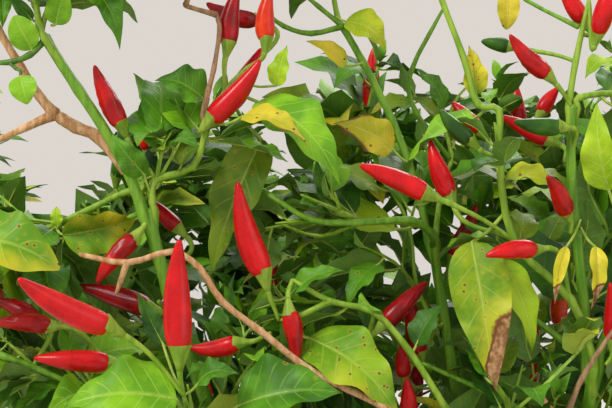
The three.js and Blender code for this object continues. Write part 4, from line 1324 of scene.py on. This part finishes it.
def bladeLeaf(leaf, slots, rng, detail):
    level = blade[detail]
    rows, half = level["rows"], level["half"]
    columns = 2 * half + 1
    base, tip, wide, fold = leaf["base"], leaf["tip"], leaf["wide"], leaf["fold"]
    way, length = along(base, tip), math.dist(base, tip)
    normal = unit(leaf["face"] - way * (leaf["face"] @ way))
    # t runs along the blade and s across it, denser towards the ends and the edges
    even, edge = np.arange(rows + 1) / rows, blade["edgeColumns"]
    t = blade["evenRows"] * even + (1 - blade["evenRows"]) * (1 - np.cos(math.pi * even)) / 2
    t = t[:, None] * (1 - 2 * blade["inset"]) + blade["inset"]
    s = np.sin(np.linspace(-1, 1, columns) * math.pi / 2 * edge) / math.sin(math.pi / 2 * edge)
    s = s[None]
    rise, run = blade["rise"], leaf.get("run", blade["run"])
    peak = rise**rise * run**run / (rise + run) ** (rise + run)
    width = wide / 2 / peak * t**rise * (1 - t) ** run
    crinkle = leaf.get("crinkle", 1)
    phases = [rng.uniform(0, 2 * math.pi) for _ in range(2)]
    phase = np.where(s < 0, phases[0], phases[1])
    wave = blade["wave"] * wide * crinkle * s**2 * np.sin(blade["ripples"] * 2 * math.pi * t + phase)
    wave = wave * np.sin(math.pi * t)
    cells = blade["veins"] * t - blade["veinSlope"] * abs(s)
    pucker = blade["pucker"] * (1 - (2 * (cells % 1) - 1) ** 2)
    pucker = pucker * (1 - abs(s) ** 3) * np.minimum(1, 4 * abs(s))
    folded = math.sin(fold) * abs(s) * width - blade["foldRound"] * fold * s**2 * width
    roll = leaf.get("roll", 0) * width * np.where(s < 0, abs(s) ** 3, 0)
    twist, curl = leaf["twist"] * (t - blade["twistFrom"]), leaf["curl"]
    arch = length * (leaf["arch"] * 4 * t * (1 - t) - curl * (t**3 - t) - curl * blade["tipCurl"] * t**4)
    bend = length * leaf.get("bend", 0) * 4 * t * (1 - t)
    sideways = s * width * math.cos(fold * blade["foldNarrows"])
    lift = folded + wave + pucker * crinkle + roll
    side = np.cross(normal, way)
    sideShift = sideways * np.cos(twist) - lift * np.sin(twist) + bend
    lifted = sideways * np.sin(twist) + lift * np.cos(twist) + arch
    top = base + way * (length * t)[..., None] + side * sideShift[..., None] + normal * lifted[..., None]
    thick = blade["thick"] * (1 - s**2) ** 0.5 * np.minimum(1, 8 * t * (1 - t))
    under = (top - normal * thick[..., None])[1:-1, 1:-1]
    index = np.arange((rows + 1) * columns).reshape(rows + 1, columns)
    below = index.copy()
    below[1:-1, 1:-1] = (rows + 1) * columns + np.arange((rows - 1) * (columns - 2)).reshape(rows - 1, -1)

    def faces(grid, flip):
        a, b, c, d = grid[:-1, :-1], grid[:-1, 1:], grid[1:, 1:], grid[1:, :-1]
        order = (a, b, c, d) if flip else (a, d, c, b)
        return np.stack(order, axis=2).reshape(-1, 4)

    place = np.stack(np.broadcast_arrays((s + 1) / 2, t), axis=2)
    onLeaf = np.concatenate([place.reshape(-1, 2), place[1:-1, 1:-1].reshape(-1, 2)])
    verts = np.concatenate([top.reshape(-1, 3), under.reshape(-1, 3)])
    quads = np.concatenate([faces(index, True), faces(below, False)])
    sheet = rows * (columns - 1)
    blades = part(verts, quads, [], np.repeat([slots["top"], slots["under"]], sheet), 0, onLeaf)
    # the petiole runs on as a midrib that tapers out before the tip
    middle = top[:, half] - normal * thick[:, half, None] * blade["ribDepth"]
    root = leaf["root"]
    hang = [root, root + (base - root) * 0.5 - up * math.dist(root, base) * blade["petioleSag"], middle[0]]
    ribRows = middle[2 : rows - 1 : level["skip"]]
    path = smooth(hang, level["steps"]) + list(ribRows)
    stalk = blade["petioleThick"] * (0.6 + length / 100)
    ribRadii = taper(max(2, len(ribRows)), stalk * blade["ribFoot"], blade["ribTip"])[: len(ribRows)]
    radii = [stalk] * (len(path) - len(ribRows)) + ribRadii
    stem = tube(path, radii, level["sides"], slots["stalk"])
    stem["onLeaf"][:] = (0.5, 0.5)
    return [blades, stem]


# Fruits: blunt at the calyx, a long convex taper and a small round point, on a funnel of a calyx that narrows
# to the pedicel. stops: share of the length, and share of the greatest radius there. cup: height over the
# neck, and the same share, and ribs: how deep its ribs are there. A body thinner than fullCup has a low cup.
fruitForm = dict(
    near=dict(sides=26, rings=30, cup=20, stalk=10, steps=12),
    far=dict(sides=10, rings=10, cup=8, stalk=5, steps=5),
    stops=((0, 0.74), (0.05, 0.88), (0.14, 0.98), (0.24, 1), (0.4, 0.955), (0.55, 0.85), (0.7, 0.69),
        (0.82, 0.51), (0.9, 0.38), (0.95, 0.29), (0.985, 0.21), (1, 0.13)),
    evenRings=0.35, end=0.996, bend=0.07, bends=(0.3, 1.3), dents=0.05, pedicel=0.85,
    wrinkles=6, wrinkleDepth=0.11, wrinkleSway=2.2, crossDepth=0.03, crossFolds=38,
    cup=((-7.4, 0.24), (-6.2, 0.3), (-4.4, 0.42), (-2.4, 0.56), (-0.8, 0.68), (0.5, 0.78), (1.1, 0.82),
        (1.2, 0.74)),
    ribs=(0.02, 0.05, 0.07, 0.06, 0.05, 0.04, 0.05, 0.04), teeth=5, fullCup=4.6, cupBlunt=0.2, bodyBlunt=0.8,
    stalkSink=0.6, stalkLift=0.2, stalkPull=(0.35, 0.4), stalkThick=(0.95, 0.4),
)


def fruitParts(fruit, slot, rng, near, wrinkled):
    form = fruitForm
    level = form["near" if near else "far"]
    foot, neck, tip = fruit["points"][0], fruit["points"][1], fruit["points"][-1]
    way, length, fat = along(neck, tip), math.dist(neck, tip), fruit["fat"]
    sag = turned(squareTo(way), way, rng.uniform(0, 2 * math.pi)) * length
    sag = sag * form["bend"] * rng.uniform(*form["bends"])
    share = np.linspace(0, 1, level["rings"])
    share = form["evenRings"] * share + (1 - form["evenRings"]) * (1 - np.cos(math.pi * share)) / 2
    share = share * form["end"]
    points = [neck + way * length * t + sag * 4 * t * (1 - t) for t in share]
    radii = fat * np.interp(share, *zip(*form["stops"]))
    radii[1:-1] = (radii[:-2] + 2 * radii[1:-1] + radii[2:]) / 4
    angles = roundAngles(level["sides"])
    phase = rng.uniform(0, 2 * math.pi)
    shape = 1 + form["dents"] * np.cos(2 * angles + phase)[None] * np.sin(5 * share + phase)[:, None]
    if wrinkled:
        swell = np.sin(math.pi * share)[:, None]
        sway = form["wrinkleSway"] * np.sin(7 * share + phase)[:, None]
        creases = 0.5 - 0.5 * np.cos(form["wrinkles"] * angles[None] + sway)
        cross = np.sin(form["crossFolds"] * share + 2 * phase)[:, None] * np.cos(3 * angles + phase)[None]
        shape = shape - form["wrinkleDepth"] * swell**0.5 * creases - form["crossDepth"] * cross * swell
    body = tube(points, radii, level["sides"], slot, shape, blunt=form["bodyBlunt"])
    # the calyx sits over the blunt end with a faintly toothed rim, ribbed down to the pedicel
    heights, widths = (np.array(column) for column in zip(*form["cup"]))
    teeth = 1 + np.outer(form["ribs"], np.cos(form["teeth"] * roundAngles(level["cup"])))
    size = min(1, fat / form["fullCup"])
    rings = [neck + way * height * size for height in heights]
    cup = tube(rings, widths * fat, level["cup"], 0, teeth, blunt=form["cupBlunt"])
    # the pedicel leaves its twig and bends into line with the fruit
    top = neck + way * (heights[0] + form["stalkSink"]) * size
    reach = math.dist(foot, top)
    outward = mixed((along(foot, top), 1), (up, form["stalkLift"]))
    first, last = form["stalkPull"]
    bend = (foot, foot + outward * reach * first, top - way * reach * last, top)
    shares = [i / level["steps"] for i in range(level["steps"] + 1)]
    least, more = form["stalkThick"]
    thick = [form["pedicel"] * (least + more * t**3) for t in shares]
    return body, [cup, tube([bezier(bend, t) for t in shares], thick, level["stalk"], 1)]


# Finishes of leaves: colours of the blade's two tones and its veins, as seen. yellow, spots and rim: how much
# of the blade turns yellow towards the tip, carries brown dots, and dries at the edge. dry: where along the
# blade its dried end starts, and how far that leans to one side.
# The tones are partly painted light: they are set lighter, bright and lime most, to stand in for light
# shining through the thin blades.
leafTones = {
    "dark": dict(low=(34, 74, 10), high=(58, 108, 18), vein=(96, 138, 44)),
    "green": dict(low=(56, 108, 10), high=(88, 148, 18), vein=(132, 176, 62), spots=0.1),
    "olive": dict(low=(78, 116, 14), high=(118, 146, 26), vein=(150, 172, 66), yellow=0.5, spots=0.15),
    "bright": dict(low=(96, 156, 12), high=(134, 190, 28), vein=(176, 212, 84), yellow=0.1),
    "lime": dict(low=(134, 178, 16), high=(172, 206, 34), vein=(200, 220, 92), yellow=0.2),
    "spotted": dict(
        low=(94, 146, 18), high=(140, 178, 30), vein=(176, 196, 78),
        yellow=0.6, spots=0.7, rim=0.25,
    ),
    "yellowGreen": dict(low=(146, 174, 20), high=(190, 202, 38), vein=(212, 214, 96), yellow=0.5, spots=0.15),
    "yellow": dict(low=(190, 184, 24), high=(220, 206, 50), vein=(226, 216, 112), spots=0.2, rim=0.15),
    "yellowDry": dict(low=(176, 174, 26), high=(214, 196, 48), vein=(216, 202, 104), spots=0.4, rim=0.8),
    "spottedYellow": dict(
        low=(58, 122, 10), high=(112, 160, 14), vein=(150, 172, 60),
        yellow=0.95, spots=0.8, rim=0.4,
    ),
    "yellowTip": dict(
        low=(190, 184, 24), high=(222, 206, 48), vein=(222, 210, 104),
        spots=0.3, dry=(0.62, 0.1),
    ),
    "papery": dict(
        low=(92, 138, 12), high=(140, 168, 18), vein=(160, 186, 74),
        yellow=0.55, spots=0.6, dry=(0.7, 0.4),
    ),
}
leafStains = dict(
    yellow=(214, 204, 40), halo=(196, 180, 60), rust=(112, 68, 26), dry=(190, 150, 104),
    dryDark=(136, 92, 54), underTint=(158, 184, 104), spotScale=300, spotSize=0.2,
)


def leafFinish(name, tone, under=False):
    finish = Finish(name, Specular_IOR_Level=0.32)
    place = finish.node("ShaderNodeUVMap", {"uv_map": "onLeaf"})
    split = finish.node("ShaderNodeSeparateXYZ", None, {0: place})
    alongLeaf = split.other("Y")
    across = (split - 0.5).size() * 2
    cells = (alongLeaf * blade["veins"] - across * blade["veinSlope"]).fraction()
    sideVein = (cells - 0.5).size().rise(0.4, 0.5) * (1 - across.rise(0.6, 1.0))
    veins = sideVein.orMore(1 - across.rise(0.02, 0.1))
    cloud, patches, mottle = finish.noise(60, 2), finish.noise(38, 2), finish.noise(420, 3)
    share = (cloud * 0.8 + mottle * 0.2).rise(0.38, 0.62)
    colour = finish.mix(share, paint(*tone["low"]), paint(*tone["high"]))
    if tone.get("yellow"):
        # wide and soft, more towards the tip and the edges, and last along the veins
        level = 1.05 - 0.5 * tone["yellow"]
        share = (patches + alongLeaf * 0.35 + across * 0.1).rise(level, level + 0.3) * (1 - veins * 0.3)
        colour = finish.mix(share, colour, paint(*leafStains["yellow"]))
    colour = finish.mix(veins * 0.4, colour, paint(*tone["vein"]))
    if tone.get("rim"):
        level = 1.5 - 0.35 * tone["rim"]
        share = (across * 0.6 + alongLeaf * 0.25 + patches).rise(level, level + 0.12)
        colour = finish.mix(share, colour, paint(*leafStains["rust"]))
    if tone.get("spots"):
        # small round dots with a pale ring, in some of the cells only
        distance, chance = finish.cells(leafStains["spotScale"])
        chosen = chance.rise(1 - tone["spots"], 1.02 - tone["spots"])
        ring = (1 - distance.rise(0.1, 0.42)) * chosen
        colour = finish.mix(ring * 0.4, colour, paint(*leafStains["halo"]))
        dot = (1 - distance.rise(leafStains["spotSize"] * 0.7, leafStains["spotSize"])) * chosen
        colour = finish.mix(dot * 0.9, colour, paint(*leafStains["rust"]))
    if tone.get("dry"):
        # dried tan towards the tip and one side, with a brown line round it and yellow before that
        start, lean = tone["dry"]
        edge = alongLeaf + (patches - 0.5) * 0.5 + (mottle - 0.5) * 0.08 + (split - 0.5) * lean
        brown = finish.mix(mottle.rise(0.35, 0.65), paint(*leafStains["dryDark"]), paint(*leafStains["dry"]))
        colour = finish.mix(edge.rise(start - 0.25, start - 0.02) * 0.5, colour, paint(*leafStains["yellow"]))
        colour = finish.mix(edge.rise(start - 0.04, start), colour, paint(*leafStains["rust"]))
        colour = finish.mix(edge.rise(start + 0.01, start + 0.05), colour, brown)
    if under:
        colour = finish.mix(0.3, colour, paint(*leafStains["underTint"]))
    finish.give("Base Color", colour)
    finish.give("Roughness", mottle * 0.2 + (0.52 if under else 0.4))
    finish.bump(veins * -0.6 + mottle * 0.4, 0.0004, 0.5)
    return finish


def fruitFinish(name, low, high, rough=0.22, wrinkled=False):
    finish = Finish(name, Specular_IOR_Level=0.28, Coat_Weight=0.1, Coat_Roughness=0.1)
    cloud = finish.noise(120, 3)
    finish.give("Base Color", finish.mix(cloud.rise(0.35, 0.7), paint(*low), paint(*high)))
    finish.give("Roughness", finish.noise(500, 2) * 0.12 + rough)
    height = finish.noise(700, 3) * 0.3 + finish.noise(160, 2) * (1.5 if wrinkled else 0.6)
    finish.bump(height, 0.0006 if wrinkled else 0.0002, 0.35)
    return finish


def stalkFinish(name, low, high, mark=(150, 150, 70), rough=0.42, depth=0.0005):
    finish = Finish(name, Specular_IOR_Level=0.4)
    streaks, marks = finish.noise(420, 3, (1, 1, 0.12)), finish.noise(700, 3)
    colour = finish.mix(streaks.rise(0.3, 0.7), paint(*low), paint(*high))
    finish.give("Base Color", finish.mix(marks.rise(0.56, 0.7) * 0.5, colour, paint(*mark)))
    finish.give("Roughness", finish.noise(500, 2) * 0.2 + rough)
    finish.bump(streaks * 0.6 + marks * 0.3, depth, 0.6)
    return finish


def barkFinish(name, green):
    # grey-brown cork with long furrows; green shows through it on the younger wood
    finish = Finish(name, Specular_IOR_Level=0.25)
    furrows, plates = finish.noise(260, 6, (1, 1, 0.14)), finish.noise(900, 4)
    skin = finish.noise(45, 4, (1, 1, 0.4))
    colour = finish.mix(furrows.rise(0.3, 0.68), paint(92, 72, 46), paint(164, 140, 102))
    colour = finish.mix(plates.rise(0.5, 0.8) * 0.5, colour, paint(122, 106, 84))
    share = skin.rise(0.62 - green, 0.8 - green) * 0.85
    colour = finish.mix(share, colour, paint(112, 140, 48))
    finish.give("Base Color", colour)
    finish.give("Roughness", furrows * 0.15 + 0.68)
    finish.bump(furrows + plates * 0.4, 0.0012, 0.8)
    return finish


topFinishes = {key: leafFinish("leaf-" + key, tone) for key, tone in leafTones.items()}
underFinishes = {
    "green": leafFinish("leaf-under-green", leafTones["green"], under=True),
    "yellow": leafFinish("leaf-under-yellow", leafTones["yellowGreen"], under=True),
    "papery": leafFinish("leaf-under-papery", leafTones["papery"], under=True),
}
stems = {
    "young": stalkFinish("stem-young", (112, 156, 30), (154, 188, 58)),
    "green": stalkFinish("stem-green", (84, 138, 22), (122, 172, 42)),
    "pale": stalkFinish("stem-pale", (140, 172, 54), (174, 196, 84)),
    "deep": stalkFinish("stem-deep", (50, 98, 18), (84, 134, 34)),
    "dry": stalkFinish("stem-dry", (176, 122, 74), (222, 182, 134), (120, 82, 52), 0.6, 0.0009),
    "dryDark": stalkFinish("stem-dry-dark", (132, 96, 66), (178, 142, 106), (92, 64, 44), 0.65, 0.0009),
    "olive": barkFinish("bark-olive", 0.22),
    "bark": barkFinish("bark", -0.05),
}
fruits = {
    "red": fruitFinish("fruit-red", (190, 8, 16), (222, 18, 24)),
    "orange": fruitFinish("fruit-orange", (212, 36, 10), (236, 74, 20)),
    "dark": fruitFinish("fruit-dark", (128, 6, 14), (172, 10, 20)),
    "green": fruitFinish("fruit-green", (34, 72, 14), (64, 112, 24)),
    "wrinkled": fruitFinish("fruit-wrinkled", (150, 8, 10), (206, 16, 18), 0.26, True),
}
calyxFinish = stalkFinish("calyx", (112, 150, 34), (156, 184, 66), (150, 140, 60), 0.36)
print("finishes made")


# Limbs: a mesh with the bark's relief stands for the trunk and each bough
limbForm = dict(
    step=1.6, fewest=12, trunkSides=56, boughSides=28, footTaper=(0.7, 0.85), ridges=5, ridgeDepth=0.05,
    twist=0.006, nodeStep=26, nodeSwell=0.13, nodeWidth=3.0, tipSwell=0.12, tipWidth=2.5,
    furrowDepth=0.5, skinDepth=0.05, cork=dict(size=3.2, stretch=0.06, cut=0.55, lift=0.12, thinnest=2),
    flareRadius=12.5, flareHeight=9, flareLobes=4, flareDepth=0.16, dome=(0.3, 0.6, 0.9, 1.2, 1.45),
    domeWidth=1.1,
)
# Limbs with rough bark. The others are smooth and green.
limbFinishes = {
    "trunk": "bark", "bough-left-low": "olive", "bough-right-low": "olive", "bough-back-low": "olive",
}


def limbPart(name, limb):
    form, cork = limbForm, limbForm["cork"]
    isTrunk = name == "trunk"
    length = math.dist(limb["curve"][0], limb["curve"][3])
    shares = np.linspace(0, 1, max(form["fewest"], round(length / form["step"])))
    points = [bezier(limb["curve"], share) for share in shares]
    radii = np.interp(shares, (0, 1), limb["radii"])
    if not isTrunk:
        # the foot runs back into its parent, so that the fork has no seam
        points = [limb["from"], (limb["from"] + points[0]) / 2] + points
        feet = [radii[0] * share for share in form["footTaper"]]
        shares, radii = np.append((0, 0), shares), np.append(feet, radii)
    sides = form["trunkSides"] if isTrunk else form["boughSides"]
    angles = roundAngles(sides)
    heights = shares * length
    apart = np.abs((heights / form["nodeStep"] + 0.5) % 1 - 0.5) * form["nodeStep"]
    swell = form["nodeSwell"] * np.exp(-((apart / form["nodeWidth"]) ** 2))
    swell += form["tipSwell"] * np.exp(-(((1 - shares) * length / form["tipWidth"]) ** 2))
    shape = np.ones((len(points), sides)) + swell[:, None]
    if isTrunk:
        flared = np.exp(-heights / form["flareHeight"])
        radii = radii + (form["flareRadius"] - limb["radii"][0]) * flared
        lobes = np.cos(form["flareLobes"] * angles)[None]
        shape += form["flareDepth"] * flared[:, None] * lobes - swell[:, None]
    else:
        turns = heights[:, None] * form["twist"]
        shape += form["ridgeDepth"] * np.cos(form["ridges"] * (angles[None] + turns))
    deep = form["furrowDepth"] if limbFinishes.get(name) else form["skinDepth"]
    for i in range(len(points)):
        z = heights[i] * cork["stretch"]
        for j, angle in enumerate(angles):
            x, y = cork["size"] * math.cos(angle), cork["size"] * math.sin(angle)
            relief = noise.noise((x, y, z)) + 0.5 * noise.noise((2 * x, 2 * y, 3 * z + 9))
            relief = abs(relief) * -cork["cut"] + cork["lift"]
            shape[i, j] += deep * relief / max(radii[i], cork["thinnest"])
    # a dome over the tip, which the next limbs and stems grow out of
    heading, tip, width = limb["tipWay"], points[-1], radii[-1] * form["domeWidth"]
    for angle in form["dome"]:
        points.append(tip + heading * width * math.sin(angle))
        radii = np.append(radii, width * math.cos(angle))
        shape = np.vstack([shape, shape[-1:]])
    return tube(points, radii, sides, 0, shape, blunt=0.0)


def makeLimbs():
    for name, limb in limbs.items():
        finish = stems[limbFinishes.get(name, "green")]
        makePiece(name + "-limb", [limbPart(name, limb)], [finish], [name])


# Sprays: which masses each joined piece takes in
regions = {
    "left": ["left-leader", "left-tip", "left-mid", "front", "low-left"],
    "centre": ["centre-top", "centre-low", "middle", "middle-back", "middle-top"],
    "right": ["right-low", "right-mid", "right-top", "right-outer"],
    "heart": ["inner", "crown", "back"],
    "west": ["left-side", "left-back", "back-left-low", "back-left"],
    "east": ["right-side", "right-back", "back-right-low", "back-right"],
    "skirt-front": ["skirt-front", "skirt-front-left", "skirt-front-right"],
    "skirt-back": ["skirt-right", "skirt-back-right", "skirt-back", "skirt-back-left", "skirt-left"],
}
# Leaves low down are older and darker than those at the top: how common each finish is there
lowTints = dict(
    dark=0.42, green=0.34, olive=0.1, bright=0.05, lime=0, spotted=0.04, yellowGreen=0.02, yellow=0.03,
)
highTints = dict(
    dark=0.12, green=0.34, olive=0.07, bright=0.25, lime=0.1, spotted=0.04, yellowGreen=0.06, yellow=0.02,
)
tintRule = dict(low=180, high=440, spray=0.8, leaf=0.2)
fruitLooks = dict(red=0.62, orange=0.1, dark=0.12, green=0.08, wrinkled=0.08)
twigForm = dict(steps=3, sides=7, nodeSwell=0.16, youngBelow=1.75, bud=0.6)
# Masses this far forward and up have finer leaves and fruits
nearDetail = dict(before=-60, above=290)
# How the rule's leaves vary. tilt: how far the face turns about the leaf, less for the finer ones
leafVariety = dict(
    run=(0.9, 1.25), wide=(0.9, 1.15), tilt=(-0.8, 0.8), fold=(0.1, 0.5), arch=(0.06, 0.14),
    curl=(0, 0.22), bend=(-0.05, 0.05), twist=(-0.45, 0.45), crinkle=(0.5, 1.3),
)
fineVariety = dict(leafVariety, tilt=(-0.5, 0.5))
youngLeaf = dict(
    count=3, length=13, spread=0.5, wide=0.42, room=3, bright=0.4, turn=2.4, spill=(0.4, 1.1), lift=0.2,
    stalk=0.12, below=0.5, cup=-0.6, form=dict(fold=0.5, arch=0.08, curl=0.1, twist=0.2, crinkle=0.5),
)


def pick(shares, draw):
    place = draw * sum(shares.values())
    for name, share in shares.items():
        place -= share
        if place < 0:
            return name
    return name


def twigPart(axis, slot, sides):
    steps = twigForm["steps"]
    path = smooth(axis["points"], steps)
    radii = np.interp(np.arange(len(path)) / steps, np.arange(len(axis["radii"])), axis["radii"])
    radii[::steps] *= 1 + twigForm["nodeSwell"]
    radii[-1] *= twigForm["bud"]
    return tube(path, radii, sides, slot)


def grownLeaf(leaf, rng):
    vary = {key: rng.uniform(*span) for key, span in (fineVariety if leaf["fine"] else leafVariety).items()}
    vary["wide"] *= leaf["wide"]
    face = turned(leaf["normal"], leaf["way"], vary["tilt"])
    base = leaf["root"] + leaf["way"] * leaf["length"] * blade["petiole"]
    return dict(vary, root=leaf["root"], base=base, tip=leaf["tip"], face=face)


def youngLeaves(node, rng):
    # a tuft of small new leaves at the end of a shoot
    made, form = [], youngLeaf
    for i in range(form["count"]):
        out = turned(node["side"], node["way"], i * form["turn"] + rng.uniform(0, 1))
        way = mixed((node["way"], 1), (out, rng.uniform(*form["spill"])), (up, form["lift"]))
        length = form["length"] * (1 + form["spread"] * rng.uniform(-1, 1))
        root, base = node["point"] - node["way"] * form["below"], node["point"] + way * length * form["stalk"]
        face = mixed((node["way"], 1), (out, form["cup"]))
        tip, wide = node["point"] + way * length, length * form["wide"]
        made.append(dict(form["form"], root=root, base=base, tip=tip, wide=wide, face=face))
    return made


def tintOf(leaf, rng):
    # mostly by spray, and by height
    draw = random.Random(leaf["spray"]).random() * tintRule["spray"] + rng.random() * tintRule["leaf"]
    high = (leaf["root"][2] - tintRule["low"]) / (tintRule["high"] - tintRule["low"])
    return pick(highTints if random.Random(leaf["spray"] + 1).random() < high else lowTints, draw)


sprayFinishes = {key: topFinishes[key] for key in lowTints}
sprayFinishes.update(under=underFinishes["green"], underYellow=underFinishes["yellow"], stalk=stems["pale"])
sprayOrder = list(sprayFinishes)


def spraySlots(tint):
    under = "underYellow" if tint in ("yellow", "yellowGreen", "spotted") else "under"
    return dict(top=sprayOrder.index(tint), under=sprayOrder.index(under), stalk=sprayOrder.index("stalk"))


def sprayTwigs(mass):
    # the stem's foot runs back into the limb that bears it
    stem, twigs = mass["axes"][0], []
    stem["points"] = [mass["from"]] + stem["points"]
    stem["radii"] = [stem["radii"][0]] + list(stem["radii"])
    for axis in mass["axes"]:
        if not axis.get("look"):
            slot = 1 if axis["order"] or mass["radius"] < twigForm["youngBelow"] else 0
            twigs.append(twigPart(axis, slot, twigForm["sides"] - 2 * axis["order"]))
    return twigs


def sprayLeaves(mass, near):
    leaves = []
    for leaf in mass["grownLeaves"]:
        rng = random.Random(leaf["seed"])
        slots = spraySlots(tintOf(leaf, rng))
        detail = "mid" if near else "fine" if leaf["fine"] else "far"
        leaves += bladeLeaf(grownLeaf(leaf, rng), slots, rng, detail)
    for node in mass["nodes"]:
        ahead = node["point"] + node["way"] * youngLeaf["length"]
        shown = nearSide.clear(node["point"], ahead, youngLeaf["room"], mass["index"], True)
        if node.get("last") and shown and not inSky(ahead):
            rng = random.Random(node["seed"])
            slots = spraySlots("bright" if rng.random() < youngLeaf["bright"] else "green")
            for leaf in youngLeaves(node, rng):
                leaves += bladeLeaf(leaf, slots, rng, "fine" if near else "young")
    return leaves


def sprayFruits(name, near):
    # bodies, and calyxes with their pedicels
    mass, bodies, stalks = masses[name], [], []
    looks, feet = handFruitLooks.get(name, ()), handFruitFeet.get(name, {})
    for i, fruit in enumerate(mass["grownFruits"]):
        byHand = i < len(looks)
        if i in feet:
            fruit["points"][0] = vec(feet[i])
        rng = random.Random(fruit.get("seed", i + mass["seed"] * seedStep["fruit"]))
        look = looks[i] if byHand else pick(fruitLooks, rng.random())
        body, stalk = fruitParts(fruit, list(fruits).index(look), rng, byHand or near, look == "wrinkled")
        bodies.append(body)
        stalks += stalk
    return bodies, stalks


def makeFruits(place, bodies, stalks):
    makePiece("fruits-" + place, bodies, list(fruits.values()))
    makePiece("stalks-" + place, stalks, [calyxFinish, stems["young"]])


def makeSprays():
    for region, members in regions.items():
        leaves, twigs, bodies, stalks = [], [], [], []
        names = ["foliage-" + member for member in members]
        for name in names:
            mass = masses[name]
            near = mass["centre"][1] < nearDetail["before"] and mass["centre"][2] > nearDetail["above"]
            twigs += sprayTwigs(mass)
            leaves += sprayLeaves(mass, near)
            moreBodies, moreStalks = sprayFruits(name, near)
            bodies += moreBodies
            stalks += moreStalks
        makePiece("leaves-" + region, leaves, list(sprayFinishes.values()), names)
        makePiece("twigs-" + region, twigs, [stems["green"], stems["young"]], names)
        if bodies:
            makeFruits(region, bodies, stalks)


nearTwigLooks = ["green", "young", "deep", "dry", "dryDark"]
nearUnders = dict.fromkeys(("yellowDry", "yellowTip", "yellowGreen", "spotted", "spottedYellow"), "yellow")
nearUnders["papery"] = "papery"
nearSides = dict(twig=10, dry=12)
nearSeeds = dict(fruit=500, leaf=900)


def makeNearSide():
    bodies, stalks = [], []
    for i, spec in enumerate(moreFruits):
        rng, look = random.Random(nearSeeds["fruit"] + i), spec["look"]
        body, stalk = fruitParts(nearFruit(spec), list(fruits).index(look), rng, True, look == "wrinkled")
        bodies.append(body)
        stalks += stalk
    makeFruits("near", bodies, stalks)
    twigs = []
    for twig in moreTwigs:
        points, radii = twigLine(twig)
        slot = nearTwigLooks.index(twig["look"])
        twigs.append(twigPart(dict(points=points, radii=radii), slot, nearSides["twig"]))
    makePiece("twigs-near", twigs, [stems[look] for look in nearTwigLooks])
    dry = [twigPart(axis, 0, nearSides["dry"]) for axis in masses["dry-twig-front"]["axes"]]
    makePiece("dry-twig", dry, [stems["dry"]], ["dry-twig-front"])
    slots = dict(top=0, under=1, stalk=2)
    for i, (name, spec) in enumerate(nearLeaves.items()):
        spec = dict(nearLeafForm, **spec)
        leaf = {key: vec(value) if isinstance(value, tuple) else value for key, value in spec.items()}
        under = nearUnders.get(spec["look"], "green")
        finishes = [topFinishes[spec["look"]], underFinishes[under], stems["pale"]]
        rng = random.Random(nearSeeds["leaf"] + i)
        makePiece(name, bladeLeaf(leaf, slots, rng, "near"), finishes)


growAll()
makeLimbs()
makeSprays()
makeNearSide()


# Stage: a pale floor that fades into a pale sky, and soft light from the left, the right and behind
stage = dict(
    floorRadius=60, corners=96, floorTone=(204, 200, 194), skyTone=(220, 214, 207), fade=(0.9, 2.4),
    rough=0.9, cloud=1.5, cloudDepth=0.97,
    key=dict(place=(-1.3, -1.3, 1.9), size=1.0, power=36, aim=(-0.02, -0.1, 0.36)),
    fill=dict(place=(1.6, -1.3, 1.0), size=1.6, power=6, aim=(0, -0.1, 0.36)),
    rim=dict(place=(0.7, 1.4, 1.7), size=1.2, power=16, aim=(0, 0, 0.36)),
)


def makeStage():
    corners, radius = stage["corners"], stage["floorRadius"]
    edge = [(radius * math.cos(angle), radius * math.sin(angle), 0) for angle in roundAngles(corners)]
    faces = [(0, 1 + i, 1 + (i + 1) % corners) for i in range(corners)]
    mesh = bpy.data.meshes.new("floor")
    mesh.from_pydata([(0, 0, 0)] + edge, [], faces)
    floor = bpy.data.objects.new("floor", mesh)
    bpy.context.scene.collection.objects.link(floor)
    sky, pale = paint(*stage["skyTone"]), paint(*stage["floorTone"])
    finish = Finish("floor", Roughness=stage["rough"], Specular_IOR_Level=0, Emission_Strength=1)
    cloud = finish.noise(stage["cloud"], 2)
    finish.give("Base Color", finish.mix(cloud, pale, shade(pale, stage["cloudDepth"])))
    # far out the floor also gives off what it lacks to be as bright as the sky, so no edge shows
    far = finish.node("ShaderNodeVectorMath", {"operation": "LENGTH"}, {0: finish.place()}).other("Value")
    missing = tuple(light * (1 - share) for light, share in zip(sky[:3], pale)) + (1,)
    finish.give("Emission Color", finish.mix(far.rise(*stage["fade"]), (0, 0, 0, 1), missing))
    floor.data.materials.append(finish.material)
    world = bpy.data.worlds.new("sky")
    world.use_nodes = True
    world.node_tree.nodes["Background"].inputs["Color"].default_value = sky
    bpy.context.scene.world = world
    for name in ("key", "fill", "rim"):
        spec = stage[name]
        data = bpy.data.lights.new(name, "AREA")
        data.shape, data.size, data.energy = "DISK", spec["size"], spec["power"]
        lamp = bpy.data.objects.new(name, data)
        lamp.location = spec["place"]
        aim = np.subtract(spec["aim"], spec["place"])
        pitch, turn = math.acos(-aim[2] / math.sqrt(aim @ aim)), math.atan2(aim[1], aim[0])
        lamp.rotation_euler = (pitch, 0, turn - math.pi / 2)
        bpy.context.scene.collection.objects.link(lamp)


makeStage()
print("stage made")
